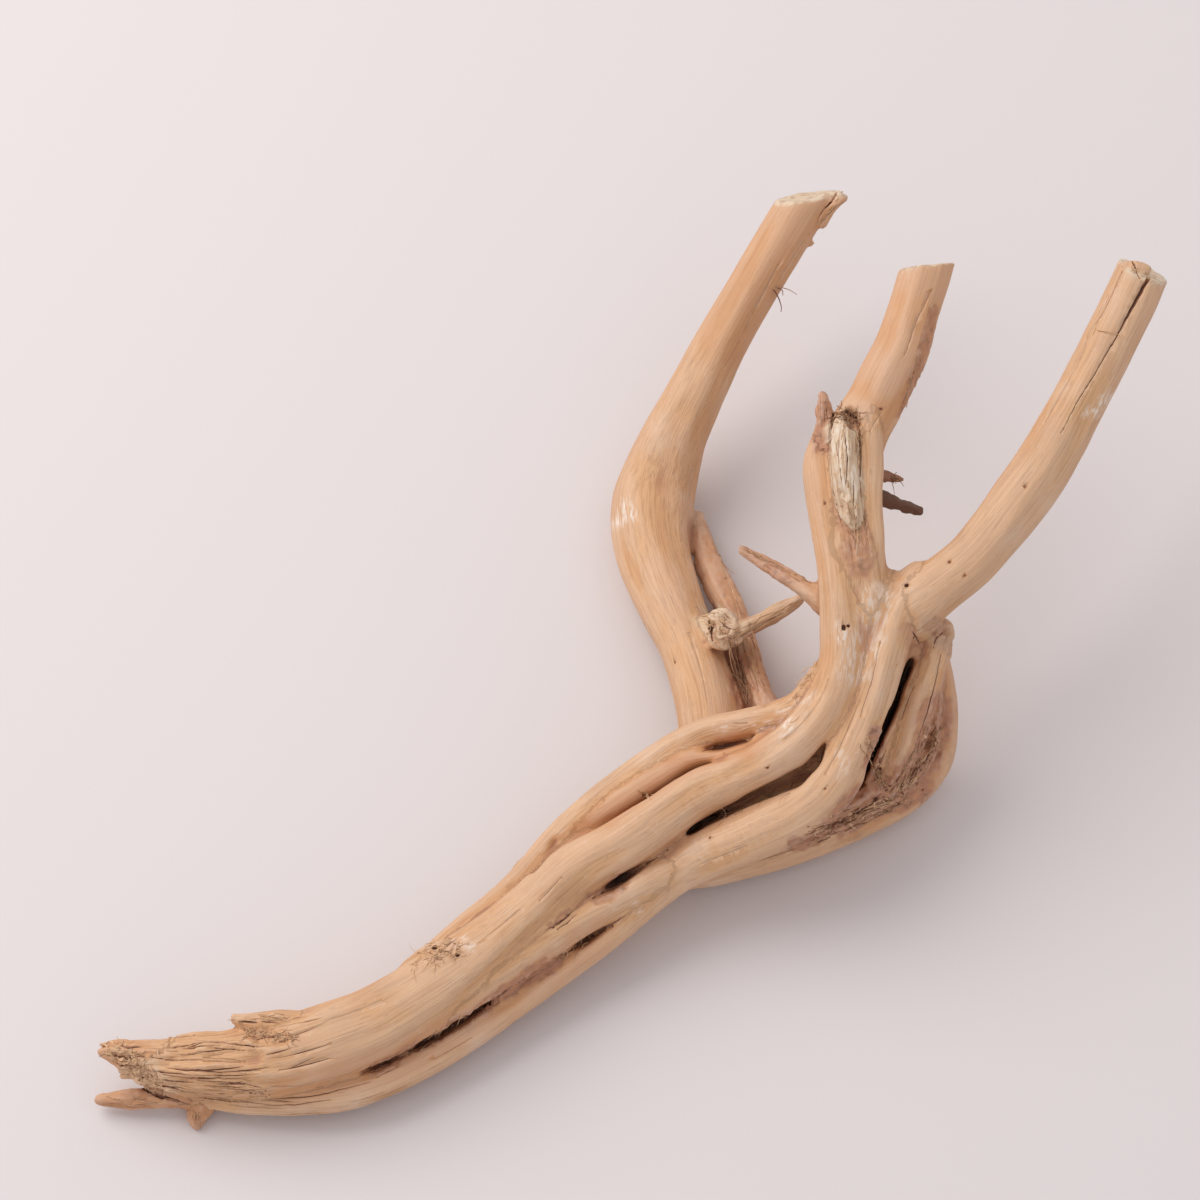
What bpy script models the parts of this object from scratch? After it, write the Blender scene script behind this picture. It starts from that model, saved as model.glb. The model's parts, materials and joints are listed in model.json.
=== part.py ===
"""A piece of driftwood: a gnarled root and stem that grew as one, lying on a table.

Every stem, root and broken stub is a strand: a tapering tube on a smooth line. The strands are run
together into one body, the clefts and cracks between them are cut, the stems are sawn off at their
tips, and the underside is worn flat where the wood meets the table.
"""

import math

import bmesh
import bpy
from mathutils import Vector

MM = 0.001

# A point of a strand is (across, up, height, half width), all in millimetres. Across and up are
# measured in the plane of a picture of the wood, from its centre, and height is above the table.
VIEW_ELEVATION = math.radians(60)
VIEW_DISTANCE = 1000.0
# Where the line through the picture's centre meets the table, from the centre of the wood's box.
PICTURE_CENTRE = Vector((-7.6, 21.5, 0.0))

RING_SIDES = 32
STRAND_STEP = 2.0
DOME_RINGS = (0.35, 0.65, 0.9)
# Shallow flutes run along each strand, as (number round it, depth as a share of its radius).
FLUTES = ((5, 0.045), (8, 0.03), (13, 0.018))
FLUTE_TURN = 0.03

BODY_VOXEL = 0.0008
BODY_SMOOTHING = 4
# Easing the surface wears every strand down by about this much, in millimetres of half width.
WORN_AWAY = 0.25
BODY_TRIANGLES = 11000
FLOOR_CUTTER = (0.4, 0.4, 0.02)

WOOD_COLOUR = (0.57, 0.35, 0.20, 1.0)
WOOD_ROUGHNESS = 0.72

STRANDS = {
    # The trunk, from its broken end at the left to the fork, and on up the middle stem's left side.
    "trunk_ridge": (
        (-90, -93, 9, 4.6), (-84, -93, 9.5, 5.8), (-74, -93, 10, 6.8), (-64, -91.6, 10.5, 7.8),
        (-54, -88.6, 11.5, 8), (-45, -85, 12, 7.8), (-35, -79, 13, 7.6), (-25, -72, 14, 6.8),
        (-15, -63.6, 15.5, 6), (-5, -54.6, 17, 5.6), (5, -48.4, 19, 5.3), (12, -43.6, 20.5, 5.2),
        (20, -38.4, 22, 5), (30, -34.2, 25, 4.6), (35, -31.5, 27.5, 4.8), (40.5, -27.6, 30, 5),
        (45.4, -21.8, 33, 5), (48.2, -14, 36, 4.6), (48.4, -5, 39, 4.4), (47.6, 5, 42, 4.1),
        (46.2, 14, 44, 4), (44.8, 22, 46, 3.8), (44.2, 28, 47.5, 3.4), (45, 33, 49, 2.4),
    ),
    "front_root": (
        (-80, -98, 5, 3.4), (-70, -99.2, 5.5, 3.6), (-60, -99.4, 6, 3.7), (-52, -98.8, 6, 3.6),
        (-45, -96.9, 6.5, 3.3), (-35, -92.3, 6.5, 3.2), (-25, -86.3, 7, 3), (-15, -79.4, 8, 2.8),
        (-5, -72.4, 9, 2.6), (0, -68.8, 10, 2.6), (5, -64.3, 11, 3), (10, -59.2, 12.5, 3.8),
        (15, -54.6, 14, 4.5), (20, -51.5, 15.5, 5), (30, -47.2, 19, 5.3), (40, -42.4, 23, 5.4),
        (45, -38.2, 25.5, 5.4), (48.8, -32.5, 28.5, 5.1), (51.4, -27, 31, 4.8), (53.8, -21, 33, 4.7),
        (55.6, -15, 35, 4.6), (57.2, -9, 36.5, 4.7), (60, -2, 38, 4.8), (64, 3, 39, 4.8),
    ),
    "inner_root": (
        (-30, -81, 12, 4.4), (-20, -74.2, 13, 4.6), (-12, -69, 13.5, 4), (-5, -64.6, 14, 3.4),
        (5, -59, 15, 3.2), (12, -55.4, 16, 3),
    ),
    "back_root": (
        (-37, -72.5, 11, 2), (-32, -68.6, 12, 2.4), (-27, -65.2, 12.5, 2.6), (-21, -60.4, 13, 2.6),
        (-15, -54.8, 13.5, 2.6), (-9.4, -48.4, 14, 2.7), (-4.4, -44, 14.5, 3), (5, -36.8, 16.5, 3.5),
        (12, -31.6, 18.5, 3.4),
        (20, -26.8, 21, 2.8), (30, -24.2, 25, 2.8), (35, -23.2, 27, 3), (40.4, -21.2, 30, 3.4),
        (45.6, -15.5, 34, 4),
    ),
    "back_band": (
        (-7, -47, 14.5, 1.4), (0, -42.5, 16.5, 2.4), (6, -38.8, 18, 2.6), (12, -35, 19, 2.6),
        (18, -31.8, 20.5, 2), (24, -30.6, 22, 1.8), (30, -29.2, 24.5, 1.6), (36, -27, 27.5, 1.6),
    ),
    "sunken_web": ((-14, -56, 11, 4.4), (2, -44, 12, 5), (16, -34, 14, 5), (34, -28, 20, 4.6)),
    "belly": (
        (-78, -95, 6, 4.6), (-54, -91.5, 7, 6), (-35, -83, 8, 7), (-15, -69, 9, 7.4),
        (5, -55, 10, 8), (25, -43, 11, 8.6), (42, -34, 12, 9),
    ),
    "knuckle": (
        (38, -38, 15, 7), (47, -33, 17, 8.4), (54, -27, 20, 8.6), (58, -16, 25, 7.6), (61, -6, 30, 5.4),
    ),
    "rim_root": (
        (16, -55.6, 8, 2.6), (24, -53.4, 7, 3.6), (32, -50.4, 7, 4.4), (42, -46.2, 6.6, 5.4),
        (51, -41.6, 6.2, 6.2), (59, -36.5, 6.8, 7), (64.6, -30.6, 10, 6.4), (67.2, -24, 14, 4.6),
        (67, -17, 18, 4),
        (65.4, -8, 24, 3.6),
    ),
    "bark_fold": (
        (44, -44.5, 14, 3.2), (52, -40, 16, 4), (59, -35.6, 17, 4), (64, -29.5, 18, 3.4),
        (66.2, -22, 20, 2.8), (67, -15, 23, 2),
    ),
    "stump": (
        (58.2, -36.5, 19, 2.6), (60.5, -30.5, 22.5, 3.6), (62.4, -25, 25, 3.8), (64.2, -19.5, 27, 3.5),
        (66.4, -13.5, 29, 3), (68, -8.5, 31, 2.8), (68.7, -5.6, 32, 2.2),
    ),
    # The three stems above the fork.
    "left_branch": (
        (24, -36, 12, 6.2), (22.4, -28, 12, 6.6), (21.2, -20, 11.5, 6.5), (18, -10, 10.5, 6.1),
        (15.4, -4, 10, 6.4), (12.8, 2, 9, 6.9), (10.9, 8, 8, 7.4), (10.2, 14, 7.8, 7.8),
        (10.8, 20, 8, 8.2), (12.4, 26, 10.5, 7.4), (14.5, 32, 14, 6.6), (17.3, 38, 17, 6),
        (23.4, 50, 23, 5.4), (30.3, 62, 30, 5), (37.5, 74, 37, 5.1), (42, 81, 41, 5.1),
        (47, 88, 45, 5.1),
    ),
    "middle_branch": (
        (53, -10, 31, 4), (51.4, -1, 37, 6.4), (50.4, 8, 41, 6.9), (49.7, 15, 42.5, 6.7),
        (49.3, 22, 44, 6.8), (49.8, 29, 46, 6.6), (52, 34.5, 48.5, 6), (54.8, 39, 50, 5.7),
        (57.3, 44, 52, 5.7), (60.2, 50, 54, 5.5), (62.1, 56, 56, 5.3), (65, 65, 59, 5.3),
        (68, 75, 62, 5.3),
    ),
    "right_branch": (
        (54, -10, 30, 4), (60.6, -3, 36, 6.2), (67, 2.2, 39.5, 5.6), (73.7, 7.6, 41.5, 5.5),
        (79.2, 14, 43, 5.7), (83.8, 20, 44.5, 5.9), (88.2, 26, 46, 5.8), (91.8, 32, 47.5, 5.7),
        (95, 38, 49, 5.5), (101.3, 50, 52, 5.5), (107, 62, 55, 5.3), (112, 74, 58, 5.3),
    ),
    "middle_ridge": (
        (55.4, 4, 42, 1.8), (54.8, 12, 45, 2.3), (54.2, 20, 47.4, 2.4), (54.4, 28, 49.7, 2.4),
        (54.2, 36, 52.2, 2.2), (55.6, 42, 54, 1.4),
    ),
    # The torn end of the trunk.
    "upper_prong": (
        (-82, -92.4, 10, 5), (-90, -91.6, 10, 4), (-95, -91.2, 10.5, 3), (-98.8, -90.4, 10.5, 1.6),
    ),
    "lower_prong": (
        (-78, -98.4, 4.5, 3.2), (-88, -99.1, 3.6, 2.5), (-94, -99.4, 3.2, 2.1), (-100.6, -99.7, 3, 1.1),
    ),
    "nub": ((-79, -99.2, 4, 3.2), (-80, -102, 1.8, 2.8), (-80.8, -105, 1.2, 1.2)),
    "splinter": ((-84, -94.6, 8, 2.4), (-92, -94.8, 8, 1.4), (-96, -95.2, 8, 0.6)),
    "flake": ((-55, -86.5, 14, 4), (-62, -85.2, 14.6, 3), (-68, -84.5, 15, 2.1), (-73, -83.8, 15.5, 1.1)),
    # Broken side shoots.
    "scar": ((-38, -74, 14, 2.2), (-33, -70.6, 16, 2.4), (-28.6, -70, 18, 1.8)),
    "fork_twig": ((45.6, -0.6, 37, 3), (41, 2.4, 37, 1.8), (35, 6.2, 36, 1.6), (28.6, 10, 35, 1.2)),
    "knot": ((22, -5, 15, 2.6), (24.6, -5.4, 16.5, 3.6), (27, -6.4, 17.5, 2.6)),
    "knot_twig": ((26.6, -6.6, 17.5, 2.2), (31, -4.8, 19, 1.9), (36, -2.2, 20.5, 1.6), (40, 0.2, 22, 0.8)),
    "blade": (
        (35, -25, 14, 3.2), (32.2, -19, 12.5, 2.3), (30.4, -13, 11, 2.4), (28.6, -7, 10, 2.6),
        (26.4, -2, 9, 3), (24, 2.4, 8, 3), (21.6, 8, 6.6, 2.6), (20.4, 13, 5.6, 2), (19.9, 17, 5, 1),
    ),
    "elbow_web": ((24.6, -4, 6, 2.6), (27.4, -13, 7, 3), (30, -24, 8, 3.8)),
    "peg": ((54, 21, 41, 1.3), (59.4, 19.4, 38, 1.1), (64, 17.6, 36, 0.9)),
    "thorn": ((56, 25, 42, 1.5), (58.6, 24.5, 41.5, 1.1), (60, 24.2, 41, 0.6)),
    "dead_spur": ((44.6, 29, 49, 1.8), (44.8, 34, 50.5, 1.8), (44.8, 38, 51.5, 1.5), (44.5, 41, 52, 0.9)),
    "torn_slab": ((49, 35, 53, 2), (48.9, 28, 51.5, 2.6), (49.8, 20, 49, 2.6), (51, 13, 46.5, 1.8)),
}

# A cleft is a thin lens cut straight in along the line of sight: its half depth in millimetres, and
# points like a strand's, down the middle of the cut.
CLEFTS = {
    "trunk_hollow": (8, (
        (15, -48.6, 17, 0.4), (20, -44.9, 18, 0.7), (25, -42.2, 20, 1.2), (30, -39.6, 22, 1.7),
        (35, -37.4, 24.5, 1.8), (40, -35, 27, 1.7), (43.4, -31.6, 29, 1.3), (45.4, -27.4, 32, 0.5),
    )),
    "inner_hollow": (6, (
        (-3, -60.4, 16, 0.4), (2, -57.4, 17, 1), (5.4, -55.1, 17.5, 1.1), (12.4, -50.8, 18.5, 0.4),
    )),
    "inner_nick": (4, ((-10, -66, 17, 0.4), (-7.6, -64, 17, 0.6), (-5, -62, 17, 0.4))),
    "outer_hollow": (6, (
        (-8, -71.4, 12, 0.4), (-4.6, -69.4, 12.5, 1), (-1, -67, 13, 0.9), (5, -63, 14, 0.4),
    )),
    "long_cleft": (6, (
        (-52, -96, 9, 0.4), (-45, -93.4, 9.5, 0.9), (-35, -88.6, 10, 1.2), (-27, -84, 10.5, 1.3),
        (-20, -79, 11, 0.8), (-8, -71.4, 12, 0.4),
    )),
    "back_seam": (4, (
        (-27, -68, 15, 0.4), (-21, -61.8, 16, 0.6), (-15, -56.2, 17, 0.7), (-9, -49, 18, 0.9),
        (-7.4, -46.8, 18, 0.5),
    )),
    "band_seam": (3.5, (
        (-7, -48.6, 19, 0.4), (0, -45, 20, 0.6), (9, -39.6, 22, 0.7), (15, -35.8, 23, 0.6),
        (21, -32.8, 24.5, 0.6), (30, -30.6, 27.5, 0.5), (36, -28.2, 30, 0.4),
    )),
    "back_hole": (6, ((17.6, -30.4, 22, 0.4), (22, -29.6, 23, 0.8), (27, -28.6, 25, 0.9), (32, -27.6, 27, 0.4))),
    "stump_cleft": (9, (
        (63.2, -10, 32, 0.4), (62, -13, 31, 0.9), (59.6, -19, 29.5, 1.2), (57, -25, 27.5, 1.4),
        (54.6, -30, 26, 1.4), (53, -35, 24, 1.1), (52.8, -40, 22, 0.4),
    )),
    "rim_seam": (5, ((68.4, -13, 23, 0.4), (68.6, -21, 20, 0.8), (67.8, -30, 17, 0.8), (64, -37, 15, 0.4))),
    "stump_seam": (4, ((67, -20, 24, 0.4), (65.6, -28, 22, 0.8), (62.4, -35, 20, 0.8), (57.6, -39, 18, 0.5))),
    "bark_seam": (4, ((40, -48.4, 15, 0.4), (46, -45.4, 17, 0.7), (53, -41.2, 19, 0.8), (57, -37, 20, 0.5))),
    "lower_seam": (3, ((20, -57.4, 10, 0.4), (30, -52.9, 11, 0.6), (40, -48.8, 13, 0.6), (46, -46.6, 14, 0.4))),
    "elbow_gap": (5, ((24.6, -10, 14, 0.5), (27.4, -15, 14.5, 1), (29, -19.5, 15, 1.4), (30, -24, 16, 1.2))),
    "right_crack": (5, ((112, 70, 62, 0.9), (106.4, 58, 58.5, 0.6), (99.8, 46.4, 55.5, 0.6), (92, 34, 52, 0.3))),
    "right_split": (3, ((107, 71, 61.5, 0.6), (98.8, 54.2, 57.5, 0.5), (89.2, 36.2, 52, 0.3))),
    "left_crack": (4, ((42.6, 75.8, 43, 0.3), (48.4, 83, 47, 0.8))),
    "slab_left_seam": (3, ((46.4, 38, 54, 0.5), (46.2, 30, 53, 0.6), (46.4, 21, 51, 0.5), (48, 13, 48.5, 0.3))),
    "slab_right_seam": (4, ((52.4, 36, 54.5, 0.8), (52.3, 29, 53.5, 0.8), (52.8, 20, 51, 0.5), (54, 13, 48.5, 0.3))),
    "torn_furrow_upper": (2.5, ((-86, -92, 15, 0.6), (-78, -93.4, 16, 0.7), (-68, -95, 16.5, 0.3))),
    "torn_furrow_middle": (2.5, ((-88, -95.2, 12.5, 0.6), (-78, -96.6, 13.5, 0.7), (-64, -98.4, 13.5, 0.3))),
    "torn_furrow_lower": (2.5, ((-73, -97.6, 12.5, 0.3), (-64, -97.8, 13, 0.7), (-50, -97, 12.5, 0.3))),
}

# A saw cut takes off what lies past it: a point on it, as for a strand, and the direction it faces.
SAW_CUTS = {
    "left_tip": ((42, 80.4, 42), (-0.15, 0.79, 0.63)),
    "middle_tip": ((65.6, 66.8, 60), (-0.12, 0.87, 0.5)),
    "right_tip": ((108.6, 65.6, 57), (0.38, 0.62, 0.67)),
}
SAW_DEPTH = 0.03


def sight_frame():
    """The directions from the wood towards the eye and up the picture."""
    toward = Vector((0, -math.cos(VIEW_ELEVATION), math.sin(VIEW_ELEVATION)))
    upward = Vector((0, math.sin(VIEW_ELEVATION), math.cos(VIEW_ELEVATION)))
    return toward, upward


def from_picture(across, up, height, half_width=0.0):
    """A point measured in the picture, as its place in metres and its true radius."""
    toward, upward = sight_frame()
    eye = PICTURE_CENTRE + toward * VIEW_DISTANCE
    seen = PICTURE_CENTRE + Vector((across, 0, 0)) + upward * up
    ray = seen - eye
    reach = (height - eye.z) / ray.z
    return (eye + ray * reach) * MM, half_width * reach * MM


def curve_value(before, start, end, after, share):
    """A Catmull-Rom curve's value between start and end."""
    return 0.5 * (
        2 * start
        + (end - before) * share
        + (2 * before - 5 * start + 4 * end - after) * share ** 2
        + (3 * start - before - 3 * end + after) * share ** 3
    )


def smooth_line(points):
    """Places and radii at short steps along a smooth curve through a strand's points."""
    knots = [from_picture(*point) for point in points]
    first = (knots[0][0] * 2 - knots[1][0], knots[0][1])
    last = (knots[-1][0] * 2 - knots[-2][0], knots[-1][1])
    knots = [first, *knots, last]
    line = []
    for before, start, end, after in zip(knots, knots[1:], knots[2:], knots[3:]):
        steps = max(1, round((end[0] - start[0]).length / (STRAND_STEP * MM)))
        for step in range(steps):
            place, radius = (
                curve_value(*values, step / steps) for values in zip(before, start, end, after)
            )
            line.append((place, radius))
    line.append(knots[-2])
    return line


def rounded_ends(line):
    """The line with a dome's rings added past both of its ends."""
    def dome(place, radius, outward):
        return [
            (place + outward * radius * math.sin(angle), radius * math.cos(angle))
            for angle in (math.radians(share * 90) for share in DOME_RINGS)
        ]

    (first, first_radius), (last, last_radius) = line[0], line[-1]
    back = (first - line[1][0]).normalized()
    ahead = (last - line[-2][0]).normalized()
    return [*reversed(dome(first, first_radius, back)), *line, *dome(last, last_radius, ahead)]


def section_frames(line, side):
    """Two directions across the line at each of its points, carried along without twisting."""
    places = [place for place, _ in line]
    ahead = [b - a for a, b in zip(places, places[1:])]
    along = [ahead[0], *(a + b for a, b in zip(ahead, ahead[1:])), ahead[-1]]
    frames = []
    for direction in along:
        direction = direction.normalized()
        side = (side - direction * side.dot(direction)).normalized()
        frames.append((side, direction.cross(side)))
    return frames


def add_rings(mesh, rings):
    """Closed skin over a list of rings of places, with a flat end at each end."""
    loops = [[mesh.verts.new(place) for place in ring] for ring in rings]
    for near, far in zip(loops, loops[1:]):
        for index, corner in enumerate(near):
            following = (index + 1) % len(near)
            mesh.faces.new((corner, near[following], far[following], far[index]))
    mesh.faces.new(reversed(loops[0]))
    mesh.faces.new(loops[-1])


def add_strand(mesh, points, turn):
    """A fluted tube. Its first flute starts `turn` round it, so that no two strands are alike."""
    line = rounded_ends(smooth_line(points))
    frames = section_frames(line, Vector((0, 0, 1)))
    rings = []
    for index, ((place, radius), (side, over)) in enumerate(zip(line, frames)):
        ring = []
        for step in range(RING_SIDES):
            angle = math.tau * step / RING_SIDES
            swell = sum(
                depth * math.sin(count * (angle + turn) + index * FLUTE_TURN * count)
                for count, depth in FLUTES
            )
            reach = (radius + WORN_AWAY * MM) * (1 + swell)
            ring.append(place + (side * math.cos(angle) + over * math.sin(angle)) * reach)
        rings.append(ring)
    add_rings(mesh, rings)


def add_cleft(mesh, half_depth, points):
    """A tube whose section is a thin ellipse, deep along the line of sight."""
    toward, _ = sight_frame()
    line = smooth_line(points)
    widest = max(width for _, width in line)
    rings = []
    for (place, width), (deep, wide) in zip(line, section_frames(line, toward)):
        depth = half_depth * MM * min(1.0, 0.4 + 0.6 * width / widest)
        rings.append([
            place
            + deep * (math.cos(math.tau * step / RING_SIDES) * depth)
            + wide * (math.sin(math.tau * step / RING_SIDES) * width)
            for step in range(RING_SIDES)
        ])
    add_rings(mesh, rings)


def object_from(name, fill):
    """A mesh object whose shape the function `fill` adds to an empty bmesh."""
    mesh = bmesh.new()
    fill(mesh)
    bmesh.ops.triangulate(mesh, faces=[face for face in mesh.faces if len(face.verts) > 4])
    bmesh.ops.recalc_face_normals(mesh, faces=mesh.faces)
    data = bpy.data.meshes.new(name)
    mesh.to_mesh(data)
    mesh.free()
    made = bpy.data.objects.new(name, data)
    bpy.context.collection.objects.link(made)
    return made


def apply_modifiers(target):
    """Bakes the object's modifiers into its mesh."""
    graph = bpy.context.evaluated_depsgraph_get()
    data = bpy.data.meshes.new_from_object(target.evaluated_get(graph))
    target.modifiers.clear()
    target.data = data


def cut(target, cutter, solver="EXACT"):
    """Takes the cutter's shape out of the target, and the cutter out of the scene."""
    modifier = target.modifiers.new(cutter.name, "BOOLEAN")
    modifier.object = cutter
    modifier.operation = "DIFFERENCE"
    modifier.solver = solver
    apply_modifiers(target)
    bpy.data.objects.remove(cutter)


def fuse(target, voxel):
    """Rebuilds the target as one skin over everything that overlaps in it."""
    remesh = target.modifiers.new("fuse", "REMESH")
    remesh.mode = "VOXEL"
    remesh.voxel_size = voxel
    remesh.adaptivity = 0.0
    apply_modifiers(target)


def add_saw_cut(mesh, point, facing):
    """A block that stands on the cut and reaches out past the stem's tip."""
    place, _ = from_picture(*point)
    facing = Vector(facing).normalized()
    turned = Vector((0, 0, 1)).rotation_difference(facing).to_matrix().to_4x4()
    turned.translation = place + facing * SAW_DEPTH / 2
    bmesh.ops.create_cube(mesh, size=SAW_DEPTH, matrix=turned)


def grown_body():
    """The strands run together, with the clefts between them opened and the surface eased."""
    def fill(mesh):
        for index, points in enumerate(STRANDS.values()):
            add_strand(mesh, points, index)

    body = object_from("driftwood", fill)
    fuse(body, BODY_VOXEL)
    for name, (half_depth, points) in CLEFTS.items():
        cutter = object_from(name, lambda mesh: add_cleft(mesh, half_depth, points))
        cut(body, cutter, "MANIFOLD")
    fuse(body, BODY_VOXEL)
    ease = body.modifiers.new("ease", "SMOOTH")
    ease.factor = 0.5
    ease.iterations = BODY_SMOOTHING
    apply_modifiers(body)
    return body


def thin_out(body):
    """Fewer, larger triangles where the surface is plain."""
    body.data.calc_loop_triangles()
    thin = body.modifiers.new("thin", "DECIMATE")
    thin.ratio = BODY_TRIANGLES / len(body.data.loop_triangles)
    thin.use_collapse_triangulate = True
    apply_modifiers(body)


def floor_cutter(mesh):
    bmesh.ops.create_cube(mesh, size=1.0)
    bmesh.ops.scale(mesh, vec=FLOOR_CUTTER, verts=mesh.verts)
    bmesh.ops.translate(mesh, vec=(0, 0, -FLOOR_CUTTER[2] / 2), verts=mesh.verts)


def wood_material():
    material = bpy.data.materials.new("weathered_wood")
    material.use_nodes = True
    surface = material.node_tree.nodes["Principled BSDF"]
    surface.inputs["Base Color"].default_value = WOOD_COLOUR
    surface.inputs["Roughness"].default_value = WOOD_ROUGHNESS
    surface.inputs["Metallic"].default_value = 0.0
    material.diffuse_color = WOOD_COLOUR
    return material


def main():
    for left_over in list(bpy.data.objects):
        bpy.data.objects.remove(left_over)
    body = grown_body()
    thin_out(body)
    for name, (point, facing) in SAW_CUTS.items():
        cut(body, object_from(name, lambda mesh: add_saw_cut(mesh, point, facing)))
    cut(body, object_from("table", floor_cutter))
    body.data.materials.clear()
    body.data.materials.append(wood_material())
    body.data.shade_smooth()
    body.data.set_sharp_from_angle(angle=math.radians(40))


main()
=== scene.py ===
"""The looks of a piece of driftwood: its weathered skin, torn wood, root fibres and bark crumbs.

The skin is grown from the strands, clefts and saw cuts of the wood's own solid, on a finer surface. The
ends of a few strands are reshaped, and the clefts are slimmer. Shards, slivers, cracks and the relief of
the grain are added. Lengths are in millimetres until a mesh is made.
"""

import json
import math

import bmesh
import bpy
import numpy as np
from bpy.props import FloatProperty, FloatVectorProperty, PointerProperty
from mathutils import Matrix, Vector
from mathutils.bvhtree import BVHTree

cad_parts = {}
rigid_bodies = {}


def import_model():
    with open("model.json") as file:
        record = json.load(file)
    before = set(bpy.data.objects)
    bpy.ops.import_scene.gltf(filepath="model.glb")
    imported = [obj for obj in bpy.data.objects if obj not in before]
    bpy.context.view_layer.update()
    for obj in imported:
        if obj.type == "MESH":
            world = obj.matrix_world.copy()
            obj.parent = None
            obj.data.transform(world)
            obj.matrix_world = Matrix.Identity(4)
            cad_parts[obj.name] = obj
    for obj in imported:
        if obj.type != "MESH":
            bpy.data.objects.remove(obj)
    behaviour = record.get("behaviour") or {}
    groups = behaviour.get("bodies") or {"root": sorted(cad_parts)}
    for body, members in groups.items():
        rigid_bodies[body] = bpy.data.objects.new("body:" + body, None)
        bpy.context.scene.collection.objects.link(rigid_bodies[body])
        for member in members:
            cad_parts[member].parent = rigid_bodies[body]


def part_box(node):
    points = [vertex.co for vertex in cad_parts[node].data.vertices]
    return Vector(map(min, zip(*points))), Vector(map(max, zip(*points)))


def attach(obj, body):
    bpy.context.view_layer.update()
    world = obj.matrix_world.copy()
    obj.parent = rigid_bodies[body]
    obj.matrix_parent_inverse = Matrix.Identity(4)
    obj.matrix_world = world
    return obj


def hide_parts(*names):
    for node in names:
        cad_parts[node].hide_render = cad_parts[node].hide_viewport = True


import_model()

bl_info = {
    "name": "Driftwood",
    "version": (1, 0, 0),
    "blender": (4, 5, 0),
    "location": "View3D > Sidebar > Driftwood",
    "description": "Dresses a piece of driftwood with its grain, torn wood, fibres and bark",
    "category": "Add Mesh",
}

MM = 0.001
SEED = 7
UP = np.array((0.0, 0.0, 1.0))
BOX_LOW, BOX_HIGH = (np.array(corner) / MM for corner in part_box("driftwood"))

# The plane that places are measured in: it faces the camera and passes through the picture's centre.
VIEW_ELEVATION = math.radians(60)
VIEW_DISTANCE = 1000.0
PICTURE_CENTRE = np.array((-7.6, 21.5, 0.0))
PICTURE_WIDTH = 240.0
SENSOR_WIDTH = 36.0

# The stage: the floor's half width in metres, the lamp's place and what it is aimed at in millimetres,
# and its width in metres.
FLOOR_HALF_WIDTH = 1.6
FLOOR_ROUGHNESS = 0.8
LAMP_PLACE = (-620, 380, 780)
LAMP_TARGET = (0, 0, 15)
LAMP_WIDTH = 1.0
LAMP_TINT = (1.0, 0.98, 0.95)
SKY_TINT = (0.96, 0.97, 1.0, 1.0)

# A strand is a tube of rings, rounded at both ends by rings at these shares of a quarter turn. Its flutes
# are (how many round it, how deep as a share of its radius), and they turn a little from ring to ring.
RING_SIDES = 32
STRAND_STEP = 1.5
DOME_RINGS = (0.35, 0.65, 0.9)
FLUTES = ((5, 0.03), (8, 0.016), (13, 0.01))
FLUTE_TURN = 0.0225

# A survey looks at a strand from places up to the margin outside it, a batch of them at a time.
SURVEY_MARGIN = 4.0
SURVEY_BATCH = 20000

# The spacing of the skin, how far its lips and creases are eased, and the triangles that it is thinned to
# before its cracks are cut.
FINE_VOXEL = 0.45
EASE_REACH = 2.5
SKIN_TRIANGLES = 140000

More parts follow.
